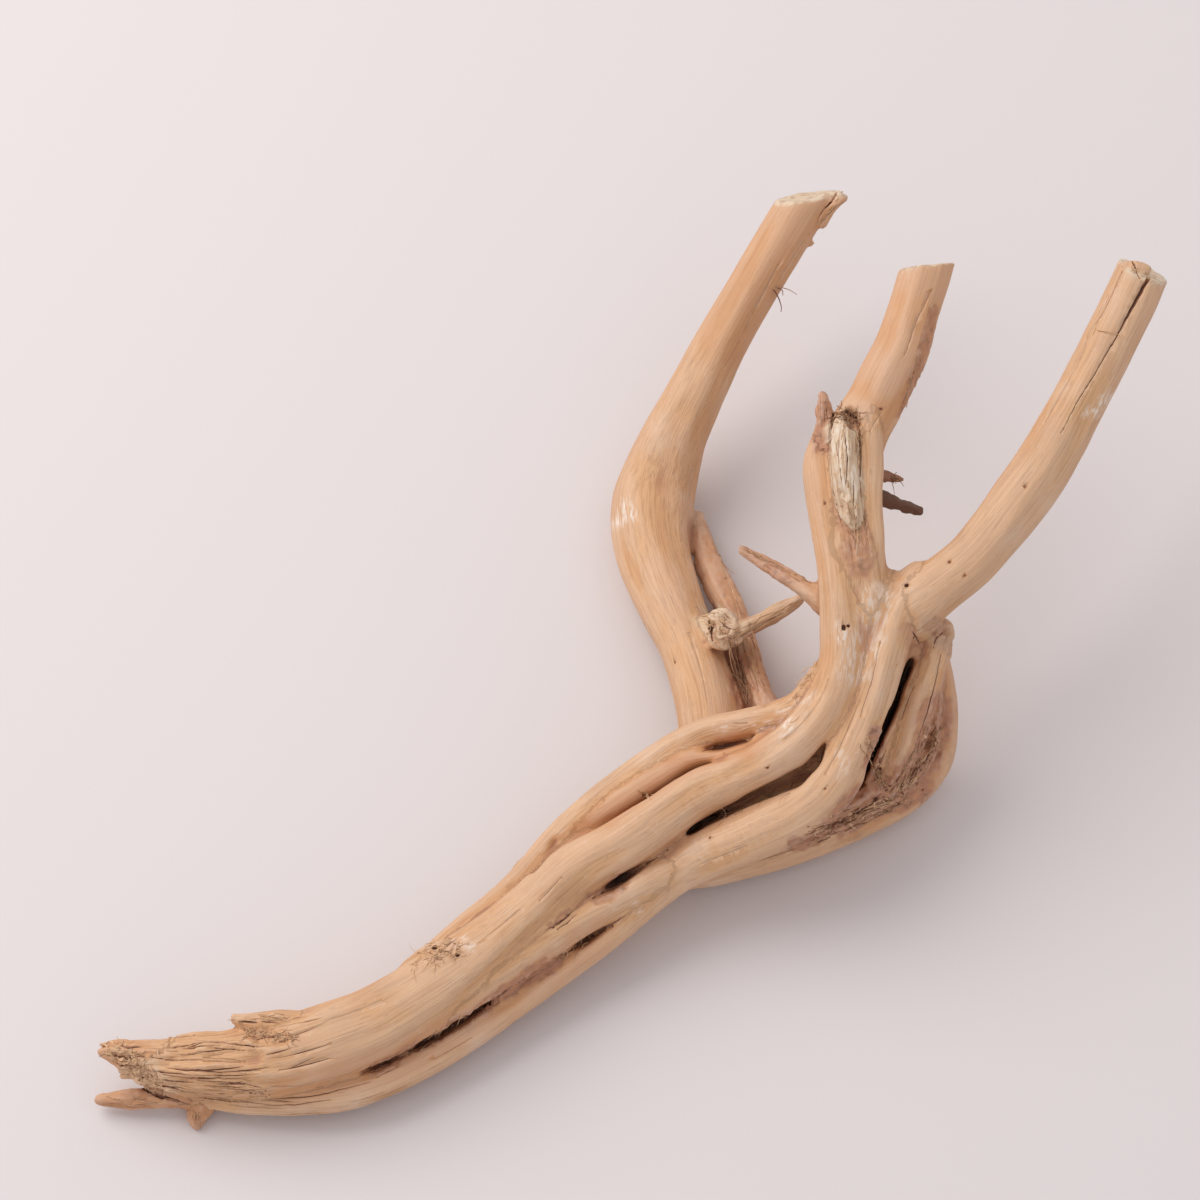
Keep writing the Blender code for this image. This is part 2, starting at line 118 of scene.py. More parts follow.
# A point of a strand is (across, up, height, half width): across and up in the picture's plane, from
# its centre, and height above the table.
STRANDS = {
    "trunk_ridge": (
        (-90, -93, 9, 4.6), (-84, -93, 9.5, 5.8), (-74, -93, 10, 6.8), (-64, -91.6, 10.5, 7.8),
        (-54, -88.6, 11.5, 8), (-45, -85, 12, 7.8), (-35, -79, 13, 7.6), (-25, -72, 14, 6.8),
        (-15, -63.6, 15.5, 6), (-5, -54.6, 17, 5.6), (5, -48.4, 19, 5.3), (12, -43.6, 20.5, 5.2),
        (20, -38.4, 22, 5), (30, -34.2, 25, 4.6), (35, -31.5, 27.5, 4.8), (40.5, -27.6, 30, 5),
        (45.4, -21.8, 33, 5), (48.2, -14, 36, 4.6), (48.4, -5, 39, 4.4), (47.6, 5, 42, 4.1),
        (46.2, 14, 44, 4), (44.8, 22, 46, 3.8), (44.2, 28, 47.5, 3.4), (45, 33, 49, 2.4),
    ),
    "front_root": (
        (-80, -98, 5, 3.4), (-70, -99.2, 5.5, 3.6), (-60, -99.4, 6, 3.7), (-52, -98.8, 6, 3.6),
        (-45, -96.9, 6.5, 3.3), (-35, -92.3, 6.5, 3.2), (-25, -86.3, 7, 3), (-15, -79.4, 8, 2.8),
        (-5, -72.4, 9, 2.6), (0, -68.8, 10, 2.6), (5, -64.3, 11, 3), (10, -59.2, 12.5, 3.8),
        (15, -54.6, 14, 4.5), (20, -51.5, 15.5, 5), (30, -47.2, 19, 5.3), (40, -42.4, 23, 5.4),
        (45, -38.2, 25.5, 5.4), (48.8, -32.5, 28.5, 5.1), (51.4, -27, 31, 4.8), (53.8, -21, 33, 4.7),
        (55.6, -15, 35, 4.6), (57.2, -9, 36.5, 4.7), (60, -2, 38, 4.8), (64, 3, 39, 4.8),
    ),
    "inner_root": (
        (-30, -81, 12, 4.4), (-20, -74.2, 13, 4.6), (-12, -69, 13.5, 4), (-5, -64.6, 14, 3.4),
        (5, -59, 15, 3.2), (11, -55.8, 15.8, 3), (16, -53.2, 15.4, 2.8), (22, -50.4, 15.6, 2.2),
    ),
    "back_root": (
        (-41, -77, 10, 0.9), (-36, -72.8, 10.6, 1.6), (-32, -69.2, 11.6, 2.1), (-27, -65.2, 12.5, 2.6),
        (-21, -60.4, 13, 2.6), (-15, -54.8, 13.5, 2.6), (-9.4, -48.4, 14, 2.7), (-4.4, -44, 14.5, 3),
        (5, -36.8, 16.5, 3.5), (12, -31.6, 18.5, 3.4), (20, -26.8, 21, 2.8), (30, -24.2, 25, 2.8),
        (35, -23.2, 27, 3), (40.4, -21.2, 30, 3.4), (45.6, -15.5, 34, 4),
    ),
    "back_band": (
        (-12, -51.4, 13.4, 0.8), (-6, -47, 14.6, 1.5), (0, -42.7, 16.2, 2.2), (6, -38.8, 18, 2.6),
        (12, -35, 19, 2.6), (18, -31.8, 20.5, 2), (24, -30.6, 22, 1.8), (30, -29.2, 24.5, 1.6),
        (36, -27, 27.5, 1.6),
    ),
    "sunken_web": ((-14, -56, 11, 4.4), (2, -44, 12, 5), (16, -34, 14, 5), (34, -28, 20, 4.6)),
    "belly": (
        (-78, -95, 6, 4.6), (-54, -91.5, 7, 6), (-35, -83, 8, 7), (-15, -69, 9, 7.4),
        (5, -55, 10, 8), (25, -43, 11, 8.6), (42, -34, 12, 9),
    ),
    "knuckle": (
        (38, -38, 15, 7), (47, -33, 17, 8.4), (54, -27, 20, 8.6), (58, -16, 25, 7.6), (61, -6, 30, 5.4),
    ),
    "rim_root": (
        (11, -57.2, 6.2, 1.6), (17, -55.4, 6.8, 2.6), (24, -53.4, 6.8, 3.5), (32, -50.4, 7, 4.4),
        (42, -46.2, 6.6, 5.4), (51, -41.6, 6.2, 6.2), (59, -36.5, 6.8, 7), (64.6, -30.6, 10, 6.4),
        (67.2, -24, 14, 4.6), (67, -17, 18, 4), (65.4, -8, 24, 3.6),
    ),
    "bark_fold": (
        (44, -44.5, 14, 3.2), (52, -40, 16, 4), (59, -35.6, 17, 4), (64, -29.5, 18, 3.4),
        (66.2, -22, 20, 2.8), (67, -15, 23, 2),
    ),
    "stump": (
        (58.2, -36.5, 19, 2.6), (60.5, -30.5, 22.5, 3.6), (62.4, -25, 25, 3.8), (64.2, -19.5, 27, 3.5),
        (66.4, -13.5, 29, 3), (68, -8.5, 31, 2.8), (68.7, -5.6, 32, 2.2),
    ),
    "left_branch": (
        (24, -36, 12, 6.2), (22.4, -28, 12, 6.6), (21.2, -20, 11.5, 6.5), (18, -10, 10.5, 6.1),
        (15.4, -4, 10, 6.4), (12.8, 2, 9, 6.9), (10.9, 8, 8, 7.4), (10.2, 14, 7.8, 7.8),
        (10.8, 20, 8, 8.2), (12.4, 26, 10.5, 7.4), (14.5, 32, 14, 6.6), (17.3, 38, 17, 6),
        (23.4, 50, 23, 5.4), (30.3, 62, 30, 5), (37.5, 74, 37, 5.1), (42, 81, 41, 5.1),
        (47, 88, 45, 5.1),
    ),
    "middle_branch": (
        (53, -10, 31, 4), (51.4, -1, 37, 6.4), (50.4, 8, 41, 6.9), (49.7, 15, 42.5, 6.7),
        (49.3, 22, 44, 6.8), (49.8, 29, 46, 6.6), (52, 34.5, 48.5, 6), (54.8, 39, 50, 5.7),
        (57.3, 44, 52, 5.7), (60.2, 50, 54, 5.5), (62.1, 56, 56, 5.3), (65, 65, 59, 5.3),
        (68, 75, 62, 5.3),
    ),
    "right_branch": (
        (54, -10, 30, 4), (60.6, -3, 36, 6.2), (67, 2.2, 39.5, 5.6), (73.7, 7.6, 41.5, 5.5),
        (79.2, 14, 43, 5.7), (83.8, 20, 44.5, 5.9), (88.2, 26, 46, 5.8), (91.8, 32, 47.5, 5.7),
        (95, 38, 49, 5.5), (101.3, 50, 52, 5.5), (107, 62, 55, 5.3), (112, 74, 58, 5.3),
    ),
    "middle_ridge": (
        (55.4, 4, 42, 1.8), (54.8, 12, 45, 2.3), (54.2, 20, 47.4, 2.4), (54.4, 28, 49.7, 2.4),
        (54.2, 36, 52.2, 2.2), (55.6, 42, 54, 1.4),
    ),
    "upper_prong": (
        (-82, -92.4, 10, 5), (-90, -91.6, 10, 4), (-95, -91.2, 10.5, 3), (-98.8, -90.4, 10.5, 1.6),
    ),
    "lower_prong": (
        (-78, -98.4, 4.5, 3.2), (-88, -99.3, 3.6, 2.4), (-94, -99.7, 3.2, 2.1), (-99.8, -100, 3, 1.6),
    ),
    "nub": ((-79, -99.2, 4, 3.2), (-80, -102, 1.8, 2.8), (-80.8, -105, 1.2, 1.2)),
    "splinter": ((-84, -94.6, 8, 2.4), (-92, -94.8, 8, 1.4), (-96, -95.2, 8, 0.6)),
    "flake": ((-55, -86.5, 14, 4), (-62, -85.2, 14.6, 3), (-68, -84.5, 15, 2.1), (-73, -83.8, 15.5, 1.1)),
    "scar": ((-38, -74, 14, 2.2), (-33, -70.6, 16, 2.4), (-28.6, -70, 18, 1.8)),
    "fork_twig": ((45.6, -0.6, 37, 3), (41, 2.4, 37, 1.8), (35, 6.2, 36, 1.6), (28.6, 10, 35, 1.2)),
    "knot": ((22, -5, 15, 2.6), (24.6, -5.4, 16.5, 3.6), (27, -6.4, 17.5, 2.6)),
    "knot_twig": (
        (26.6, -6.6, 17.5, 2.2), (31, -4.8, 19, 1.9), (36, -2.2, 20.5, 1.6), (40, 0.2, 22, 0.8),
    ),
    "blade": (
        (35, -25, 14, 3.2), (32.2, -19, 12.5, 2.3), (30.4, -13, 11, 2.4), (28.6, -7, 10, 2.6),
        (26.4, -2, 9, 3), (24, 2.4, 8, 3), (21.6, 8, 6.6, 2.6), (20.4, 13, 5.6, 2), (19.9, 17, 5, 1),
    ),
    "elbow_web": ((24.6, -4, 6, 2.6), (27.4, -13, 7, 3), (30, -24, 8, 3.8)),
    "peg": ((54, 21, 41, 1.5), (59.4, 19.4, 38, 1.4), (63.6, 17.8, 36, 1.2)),
    "thorn": ((56, 25, 42, 1.5), (58.6, 24.5, 41.5, 1.1), (60, 24.2, 41, 0.6)),
    "dead_spur": ((44.6, 29, 49, 1.8), (44.8, 34, 50.5, 1.8), (44.8, 38, 51.5, 1.5), (44.5, 41, 52, 0.9)),
    "torn_slab": ((49, 35, 53, 2), (48.9, 28, 51.5, 2.6), (49.8, 20, 49, 2.6), (51, 13, 46.5, 1.8)),
}

# A cleft is a thin lens cut straight in along the line of sight: its half depth, and points like a
# strand's, down the middle of the cut.
CLEFTS = {
    "trunk_hollow": (8, (
        (15, -48.4, 17, 0.4), (20, -45, 18, 0.8), (25, -42.4, 20, 1.1), (30, -39.8, 22, 1.4),
        (35, -37.6, 24.5, 1.5), (40, -35.2, 27, 1.5), (43.4, -31.9, 29, 1.1), (45.2, -28.2, 32, 0.4),
    )),
    "inner_hollow": (6, (
        (-3, -60.4, 16, 0.3), (2, -57.4, 17, 0.75), (5.4, -55.1, 17.5, 0.8), (12.4, -50.8, 18.5, 0.3),
    )),
    "outer_hollow": (6, (
        (-8, -71.4, 12, 0.3), (-4.6, -69.4, 12.5, 0.75), (-1, -67, 13, 0.65), (5, -63, 14, 0.3),
    )),
    "long_cleft": (6, (
        (-52, -96, 9, 0.3), (-45, -93.4, 9.5, 0.6), (-35, -88.6, 10, 0.85), (-27, -84, 10.5, 1),
        (-20, -79, 11, 0.6), (-8, -71.4, 12, 0.3),
    )),
    "back_seam": (4, (
        (-27, -68, 15, 0.3), (-21, -61.8, 16, 0.4), (-15, -56.2, 17, 0.45), (-9, -49, 18, 0.75),
        (-7.4, -46.8, 18, 0.4),
    )),
    "band_seam": (3.5, (
        (-7, -48.6, 19, 0.3), (0, -45, 20, 0.4), (9, -39.6, 22, 0.45), (15, -35.8, 23, 0.4),
        (21, -32.8, 24.5, 0.4), (30, -30.6, 27.5, 0.4), (36, -28.2, 30, 0.3),
    )),
    "back_hole": (6, (
        (18.6, -30.2, 22, 0.3), (22, -29.7, 23, 0.75), (27, -28.7, 25, 0.9), (31.4, -27.8, 27, 0.4),
    )),
    "stump_cleft": (11, (
        (63, -10.6, 32, 0.3), (62, -13, 31, 0.6), (59.6, -19, 29, 0.8), (57, -25, 27, 1.0),
        (54.8, -30, 25, 1.25), (53, -35, 23, 1.0), (52, -39.6, 21, 0.4),
    )),
    "rim_seam": (5, ((68.4, -13, 23, 0.3), (68.6, -21, 20, 0.5), (67.8, -30, 17, 0.5), (64, -37, 15, 0.3))),
    "stump_seam": (4, (
        (67, -20, 24, 0.3), (65.6, -28, 22, 0.5), (62.4, -35, 20, 0.5), (57.6, -39, 18, 0.35),
    )),
    "bark_seam": (4, (
        (40, -48.4, 15, 0.3), (46, -45.4, 17, 0.45), (53, -41.2, 19, 0.5), (57, -37, 20, 0.35),
    )),
    "lower_seam": (3, (
        (20, -57.4, 10, 0.3), (30, -52.9, 11, 0.4), (40, -48.8, 13, 0.4), (46, -46.6, 14, 0.3),
    )),
    "elbow_gap": (5, ((24.6, -10, 14, 0.4), (27.4, -15, 14.5, 0.8), (29, -19.5, 15, 1.2), (30, -24, 16, 1))),
}

# A saw cut takes off what lies past it: a point on it, as for a strand but of no width, and the direction
# it faces. SAW_DEPTH is how far past the cut wood is taken off, and SAW_REACH how wide a cut's face is.
SAW_CUTS = {
    "left_tip": ((42, 80.6, 42, 0), (-0.12, 0.72, 0.7)),
    "middle_tip": ((65.6, 66.8, 60, 0), (-0.12, 0.87, 0.5)),
    "right_tip": ((108.6, 65.6, 57, 0), (0.38, 0.62, 0.67)),
}
SAW_DEPTH = 30.0
SAW_REACH = 12.0

# Smaller growths and shards that stand out of the wood past its cuts, and the wood that fills the fork, as
# strands.
SHARDS = {
    "fork_web": (
        (50, -19, 29.8, 3), (51.6, -12, 33.8, 4), (53.8, -4, 37.6, 4.8), (56, 0.5, 38.6, 4.6),
        (57.4, 2.6, 37.8, 3.8),
    ),
    "fork_fill": ((50.6, -10, 34.6, 3.6), (52, -4, 38.2, 4.2), (53.6, 2, 40.4, 4.2), (54.4, 6, 41, 3)),
    "left_tip_curl": (
        (44.4, 75.2, 39.5, 0.9), (46.4, 78.4, 42, 0.85), (48.2, 80.2, 43.4, 0.95), (48.8, 80.5, 43, 0.8),
    ),
    "left_tip_lump": ((45, 80.6, 42.4, 1.0), (47.4, 80.8, 43.2, 1.0)),
    "right_tip_crust": ((104.8, 66.8, 58.4, 1.0), (107.4, 67, 59.6, 1.2), (109.6, 66.2, 59.4, 1.1)),
    "prong_knob": ((-95, -89.4, 11, 1.6), (-98.6, -88.9, 11, 0.9)),
    "prong_heel": ((-93, -93, 9, 1.6), (-97.4, -92.2, 9, 0.8)),
    "prong_toe": ((-91, -95.2, 8, 1.2), (-95.4, -94.8, 8, 0.6)),
    "flake_hook": ((-68, -84.8, 15.4, 1.4), (-72, -84, 15.8, 0.8), (-73.6, -83.2, 16, 0.5)),
    "flake_root": ((-71.4, -86.2, 14, 0.8), (-66, -86.8, 14.6, 1.3), (-61, -87.2, 15, 1.2)),
    "knot_curl_upper": (
        (21.6, -4.2, 17, 0.8), (23, -2.8, 18.8, 1.0), (25.4, -2.6, 19.6, 1.0), (27, -4.4, 19.8, 0.9),
        (26.6, -6.4, 20, 0.7),
    ),
    "knot_curl_lower": (
        (21.6, -6.6, 16.6, 0.9), (22.8, -8.6, 17.8, 1.1), (25.2, -9.2, 18.4, 1.1), (27.6, -8.2, 18.6, 0.9),
        (29, -6.8, 19, 0.7),
    ),
    "knot_spike": ((26.4, -7.2, 19.8, 1.0), (24.4, -7.5, 20, 0.7), (22.8, -7.6, 19.8, 0.3)),
    "knot_twig_rib": (
        (27, -7.4, 18.6, 0.8), (32, -5.2, 20, 0.8), (37, -2.6, 21.4, 0.7), (39.6, -0.6, 22, 0.4),
    ),
    "stump_curl_upper": (
        (65.6, -8, 33, 0.9), (66, -6, 33.8, 1.0), (68, -4.6, 34.2, 1.0), (70, -5.2, 33.8, 0.9),
        (70.4, -7.4, 33, 0.8),
    ),
    "stump_curl_inner": ((67.2, -8.8, 33.2, 0.8), (68, -7, 34, 0.8), (69.2, -7.4, 34, 0.6)),
    "flake_side": ((-73.2, -82.9, 15.6, 0.45), (-72.2, -85, 14.6, 0.8), (-70.4, -86.8, 13.6, 1.2)),
    "left_branch_knob": ((41.4, 71.6, 35.2, 0.9), (42, 71.4, 35.2, 0.7)),
}

# Where torn wood splits into slivers: the strand, the part of its length, how many slivers, and their
# length, half width and how far their free ends lift.
SLIVERS = (
    ("trunk_ridge", (0.0, 0.11), 40, 8.0, 0.5, 0.2),
    ("upper_prong", (0.25, 0.95), 26, 3.6, 0.5, 0.5),
    ("lower_prong", (0.2, 0.9), 14, 5.0, 0.45, 0.15),
    ("splinter", (0.2, 0.9), 10, 4.0, 0.45, 0.4),
    ("nub", (0.4, 0.95), 12, 2.4, 0.5, 0.3),
    ("flake", (0.3, 0.95), 18, 4.5, 0.4, 0.3),
    ("torn_slab", (0.0, 0.8), 26, 6.0, 0.45, 0.3),
    ("dead_spur", (0.4, 0.95), 12, 4.0, 0.35, 0.15),
    ("stump", (0.75, 1.0), 10, 2.6, 0.4, 0.2),
    ("knot", (0.1, 0.9), 10, 2.6, 0.4, 0.2),
    ("knot_twig", (0.1, 0.8), 14, 6.0, 0.35, 0.1),
    ("fork_twig", (0.2, 0.8), 10, 5.0, 0.3, 0.1),
    ("scar", (0.2, 0.9), 14, 2.4, 0.4, 0.4),
)

# Cracks, and the deeper beds of the clefts: how deep, and points (across, up, half width) in the picture's
# plane.
CRACKS = {
    "right_check": (2.4, (
        (109.8, 64.6, 0.46), (108.4, 62, 0.46), (106.2, 58, 0.34), (103.7, 53.3, 0.16), (99, 45.2, 0.1),
        (95.7, 40.1, 0.07), (92.2, 33.3, 0.04),
    )),
    "right_check_upper": (0.7, (
        (104.4, 65.6, 0.14), (100.7, 57.4, 0.13), (97.8, 53.7, 0.11), (96.6, 49.6, 0.09), (93.5, 43.5, 0.08),
        (89.1, 35.6, 0.04),
    )),
    "right_check_short": (0.5, ((101.8, 61, 0.05), (100, 56.6, 0.08), (98.6, 53, 0.04))),
    "right_tip_split": (1.2, ((106, 68.6, 0.2), (107, 66.4, 0.2), (108, 64.2, 0.1))),
    "hollow_tip": (2.2, ((16.2, -46.6, 0.08), (19, -45.2, 0.25), (22, -43.8, 0.42), (25.6, -42.2, 0.5))),
    "long_cleft_bed": (1.6, (
        (-46, -93.8, 0.08), (-40, -91, 0.3), (-34, -88, 0.42), (-27, -84, 0.5), (-21, -79.8, 0.4),
        (-15, -75.6, 0.14), (-10, -72.6, 0.06),
    )),
    "outer_hollow_bed": (1.4, ((-7, -70.8, 0.1), (-3, -68.3, 0.4), (1, -65.8, 0.42), (5, -63.2, 0.1))),
    "inner_hollow_bed": (1.4, ((-1.6, -59.8, 0.1), (3, -57, 0.4), (7, -54.4, 0.36), (11.6, -51.4, 0.1))),
    "back_hole_bed": (1.2, ((20.6, -30.2, 0.1), (24, -29.4, 0.36), (28, -28.6, 0.36), (30.6, -28.1, 0.1))),
    "stump_cleft_bed": (3.2, (
        (61.6, -14, 0.2), (59.4, -19.6, 0.4), (57.2, -24.6, 0.5), (55.2, -29.4, 0.5), (53.6, -34, 0.45),
        (52.4, -39, 0.15),
    )),
    "bulge_crack_low": (1.0, (
        (56.2, -38.8, 0.12), (54.6, -40.4, 0.4), (52, -42.2, 0.3), (49.8, -43.8, 0.45), (46.6, -46, 0.3),
        (42.8, -49, 0.1),
    )),
    "bulge_crack_side": (1.0, (
        (68, -19, 0.1), (68.3, -24, 0.3), (67.4, -29.6, 0.4), (65, -34.4, 0.35), (62, -38, 0.1),
    )),
    "bulge_crack_inner": (0.9, ((64.6, -29, 0.1), (62.6, -33.4, 0.3), (60.4, -36, 0.35), (57.6, -38.6, 0.1))),
    "left_tip_check": (1.6, ((47.4, 81.6, 0.24), (46.5, 79.9, 0.24), (44.3, 77.5, 0.12), (43.2, 75, 0.05))),
    "left_tip_edge": (0.5, ((48.4, 79.4, 0.08), (46.7, 78.2, 0.08), (43.8, 74.8, 0.04))),
    "left_check": (0.3, ((36, 67.6, 0.03), (31, 58, 0.05), (25, 46.4, 0.03))),
    "middle_check": (0.3, ((66.4, 62, 0.03), (63.4, 56, 0.05), (61, 49, 0.03))),
    "slab_right": (1.6, (
        (49, 37.9, 0.4), (51.2, 36.4, 0.42), (52, 33, 0.3), (52.2, 29.4, 0.24), (52, 24, 0.14),
        (52.6, 18, 0.1), (53.6, 12, 0.05),
    )),
    "slab_left": (1.4, (
        (46.9, 38.4, 0.24), (46.2, 33, 0.2), (46, 28, 0.12), (46.8, 21, 0.1), (48.6, 14, 0.05),
    )),
    "slab_middle": (0.8, ((49, 33, 0.08), (49.5, 28, 0.14), (49.2, 23, 0.06))),
    "slab_inner": (0.7, ((47.6, 32, 0.06), (47.8, 27, 0.12), (48.8, 20.6, 0.06))),
    "slab_low": (0.6, ((50.8, 24, 0.06), (50.6, 19, 0.12), (51.4, 13.6, 0.06))),
    "trunk_nick": (0.9, ((-10.2, -65.8, 0.08), (-7.8, -64.3, 0.22), (-5.4, -62.3, 0.06))),
    "trunk_nick_side": (0.5, ((-8.6, -66, 0.05), (-6.6, -64.6, 0.12), (-4.8, -63, 0.04))),
    "torn_a": (0.9, ((-86.6, -93.6, 0.06), (-83, -94, 0.24), (-79, -94.2, 0.24), (-75.4, -94.7, 0.06))),
    "torn_b": (0.9, ((-87.4, -95, 0.08), (-82, -95.7, 0.26), (-76, -95.7, 0.2), (-70.6, -95.9, 0.05))),
    "torn_c": (1.1, ((-88.6, -95.9, 0.1), (-85.5, -96.3, 0.3), (-81.4, -96.5, 0.08))),
    "torn_d": (0.8, ((-80.6, -96.1, 0.06), (-76, -96.5, 0.2), (-71, -96.8, 0.16), (-67.6, -97.7, 0.05))),
    "torn_e": (1.1, ((-89, -96.9, 0.1), (-86, -97.5, 0.28), (-83.2, -98.3, 0.08))),
    "torn_f": (0.8, ((-79, -97.2, 0.05), (-75, -97.4, 0.18), (-72, -97.5, 0.05))),
    "torn_g": (1.0, ((-74.4, -97.8, 0.06), (-70, -98.2, 0.3), (-67.2, -98.5, 0.34), (-65.4, -98.2, 0.05))),
    "torn_h": (0.7, ((-66.4, -99.9, 0.05), (-62, -99.6, 0.16), (-57, -99.2, 0.12), (-46, -96.4, 0.04))),
    "torn_i": (0.6, ((-75, -100.4, 0.05), (-70, -100.5, 0.14), (-66, -101, 0.05))),
    "torn_j": (0.6, ((-67, -101.1, 0.05), (-61, -101, 0.14), (-54, -100, 0.04))),
    "torn_k": (0.6, ((-65.6, -97.4, 0.05), (-60, -97.2, 0.12), (-50, -94.8, 0.04))),
    "torn_l": (0.7, ((-81, -88, 0.06), (-76, -88.4, 0.2), (-71.6, -89.1, 0.1), (-68.6, -89.4, 0.04))),
    "torn_m": (0.6, ((-78, -89.6, 0.05), (-73, -90, 0.14), (-69, -90.1, 0.04))),
    "torn_n": (0.6, ((-66.6, -91, 0.05), (-64.4, -90.4, 0.18), (-62.6, -90, 0.05))),
    "torn_o": (0.6, ((-86, -87.5, 0.05), (-81, -87.2, 0.14), (-77, -87.1, 0.04))),
    "torn_p": (0.9, ((-72.2, -84.3, 0.1), (-70.4, -84.4, 0.3), (-68.6, -84.6, 0.08))),
    "torn_q": (0.7, ((-67.6, -84.3, 0.06), (-66.2, -84.4, 0.24), (-64, -84.6, 0.05))),
    "torn_r": (1.2, ((-70.6, -87, 0.1), (-68.4, -87.7, 0.34), (-65, -87.3, 0.24), (-61.6, -87, 0.05))),
    "torn_s": (0.8, ((-71, -89, 0.08), (-69, -89.4, 0.3), (-66, -89, 0.05))),
    "prong_gap": (2.4, ((-91.6, -97.6, 0.3), (-88.4, -99, 0.5), (-84.4, -100.4, 0.34), (-81.8, -101, 0.1))),
    "prong_a": (1.2, ((-98.6, -91, 0.3), (-95, -91.6, 0.34), (-91, -91.2, 0.08))),
    "prong_b": (1.0, ((-97, -93.4, 0.2), (-94, -93, 0.34), (-91.4, -93.4, 0.1))),
    "prong_c": (0.8, ((-96.6, -88.6, 0.1), (-94.4, -89.6, 0.26), (-91.6, -89.4, 0.05))),
    "scoop_edge": (0.5, ((-90, -91.4, 0.06), (-86.4, -92, 0.14), (-80, -92, 0.1), (-71, -92.6, 0.04))),
    "stump_top_a": (0.9, ((62.5, -6.2, 0.06), (63.2, -7.4, 0.24), (63.9, -8.8, 0.05))),
    "stump_top_b": (0.8, ((66.6, -9.6, 0.06), (67.2, -7.6, 0.2), (68.6, -6.4, 0.18), (69.4, -7.8, 0.05))),
    "stump_side": (0.8, ((68.2, -11, 0.06), (67, -17, 0.14), (65, -24, 0.14), (62.6, -31, 0.05))),
    "bark_a": (1.1, ((44.6, -45.6, 0.1), (48.5, -44.1, 0.34), (51, -42.9, 0.4), (54.6, -41.6, 0.1))),
    "bark_b": (1.2, ((67.2, -27.4, 0.1), (66.2, -30.4, 0.3), (64.2, -34, 0.36), (61, -37.4, 0.1))),
    "bark_c": (0.9, ((57, -38.4, 0.08), (59.4, -36.2, 0.26), (61.4, -33.4, 0.08))),
    "bark_d": (0.9, ((50, -46.4, 0.06), (55, -43.6, 0.2), (60, -40.8, 0.06))),
    "bark_e": (0.8, ((54.8, -35, 0.08), (56, -32.6, 0.24), (57.2, -30, 0.06))),
    "fork_twig_rib": (0.4, ((41.6, 3.9, 0.05), (38, 5.7, 0.12), (34.6, 7.5, 0.04))),
    "knot_twig_rib": (0.5, ((28.4, -7.2, 0.06), (33, -4.6, 0.16), (38, -1.8, 0.05))),
    "knot_dark": (1.2, ((21.8, -4.2, 0.2), (22.2, -6, 0.5), (22.6, -8.2, 0.2))),
    "knot_fold": (0.9, ((24, -4, 0.1), (25.4, -5.6, 0.3), (27.4, -6, 0.1))),
    "front_check": (0.3, ((52, -23.4, 0.04), (54.4, -16, 0.08), (56, -8.4, 0.04))),
}

# Where the grain opens into seeded cracks: the strand, the part of its length, how many, their length,
# half width and depth.
CHECKED = (
    ("trunk_ridge", (0.0, 0.15), 70, 8.0, 0.11, 0.55),
    ("trunk_ridge", (0.15, 0.75), 20, 12.0, 0.045, 0.18),
    ("front_root", (0.0, 0.2), 26, 8.0, 0.1, 0.45),
    ("front_root", (0.2, 0.95), 16, 12.0, 0.05, 0.2),
    ("belly", (0.0, 0.25), 30, 9.0, 0.12, 0.5),
    ("upper_prong", (0.1, 0.9), 30, 3.5, 0.13, 0.6),
    ("lower_prong", (0.1, 0.9), 18, 6.0, 0.09, 0.4),
    ("left_branch", (0.1, 0.9), 10, 14.0, 0.035, 0.15),
    ("middle_branch", (0.2, 0.9), 6, 10.0, 0.035, 0.15),
    ("right_branch", (0.2, 0.9), 8, 12.0, 0.035, 0.15),
    ("stump", (0.0, 0.9), 18, 7.0, 0.09, 0.4),
    ("knot_twig", (0.1, 0.9), 12, 5.0, 0.09, 0.35),
    ("fork_twig", (0.1, 0.9), 8, 5.0, 0.08, 0.3),
    ("blade", (0.1, 0.9), 16, 7.0, 0.09, 0.35),
    ("bark_fold", (0.0, 1.0), 22, 4.5, 0.1, 0.5),
    ("rim_root", (0.2, 0.8), 20, 7.0, 0.08, 0.3),
    ("torn_slab", (0.0, 0.9), 8, 4.0, 0.07, 0.3),
    ("dead_spur", (0.1, 0.95), 14, 4.0, 0.1, 0.4),
    ("flake", (0.2, 0.95), 16, 4.0, 0.11, 0.4),
    ("knot", (0.1, 0.9), 10, 2.6, 0.14, 0.5),
)

# Wood that has split away and left a shallow scoop: points, half width and depth.
SCOOPS = (
    (((-87, -91.6), (-78, -91), (-69, -91.2)), 2.6, 0.8),
    (((-93, -94), (-90, -96), (-88, -98)), 2.2, 0.9),
    (((-69, -87.6), (-63, -87.4)), 1.8, 0.9),
    (((50, 37), (51.4, 35)), 1.6, 1.6),
    (((22, -5), (22.4, -7.6)), 1.2, 1.0),
)

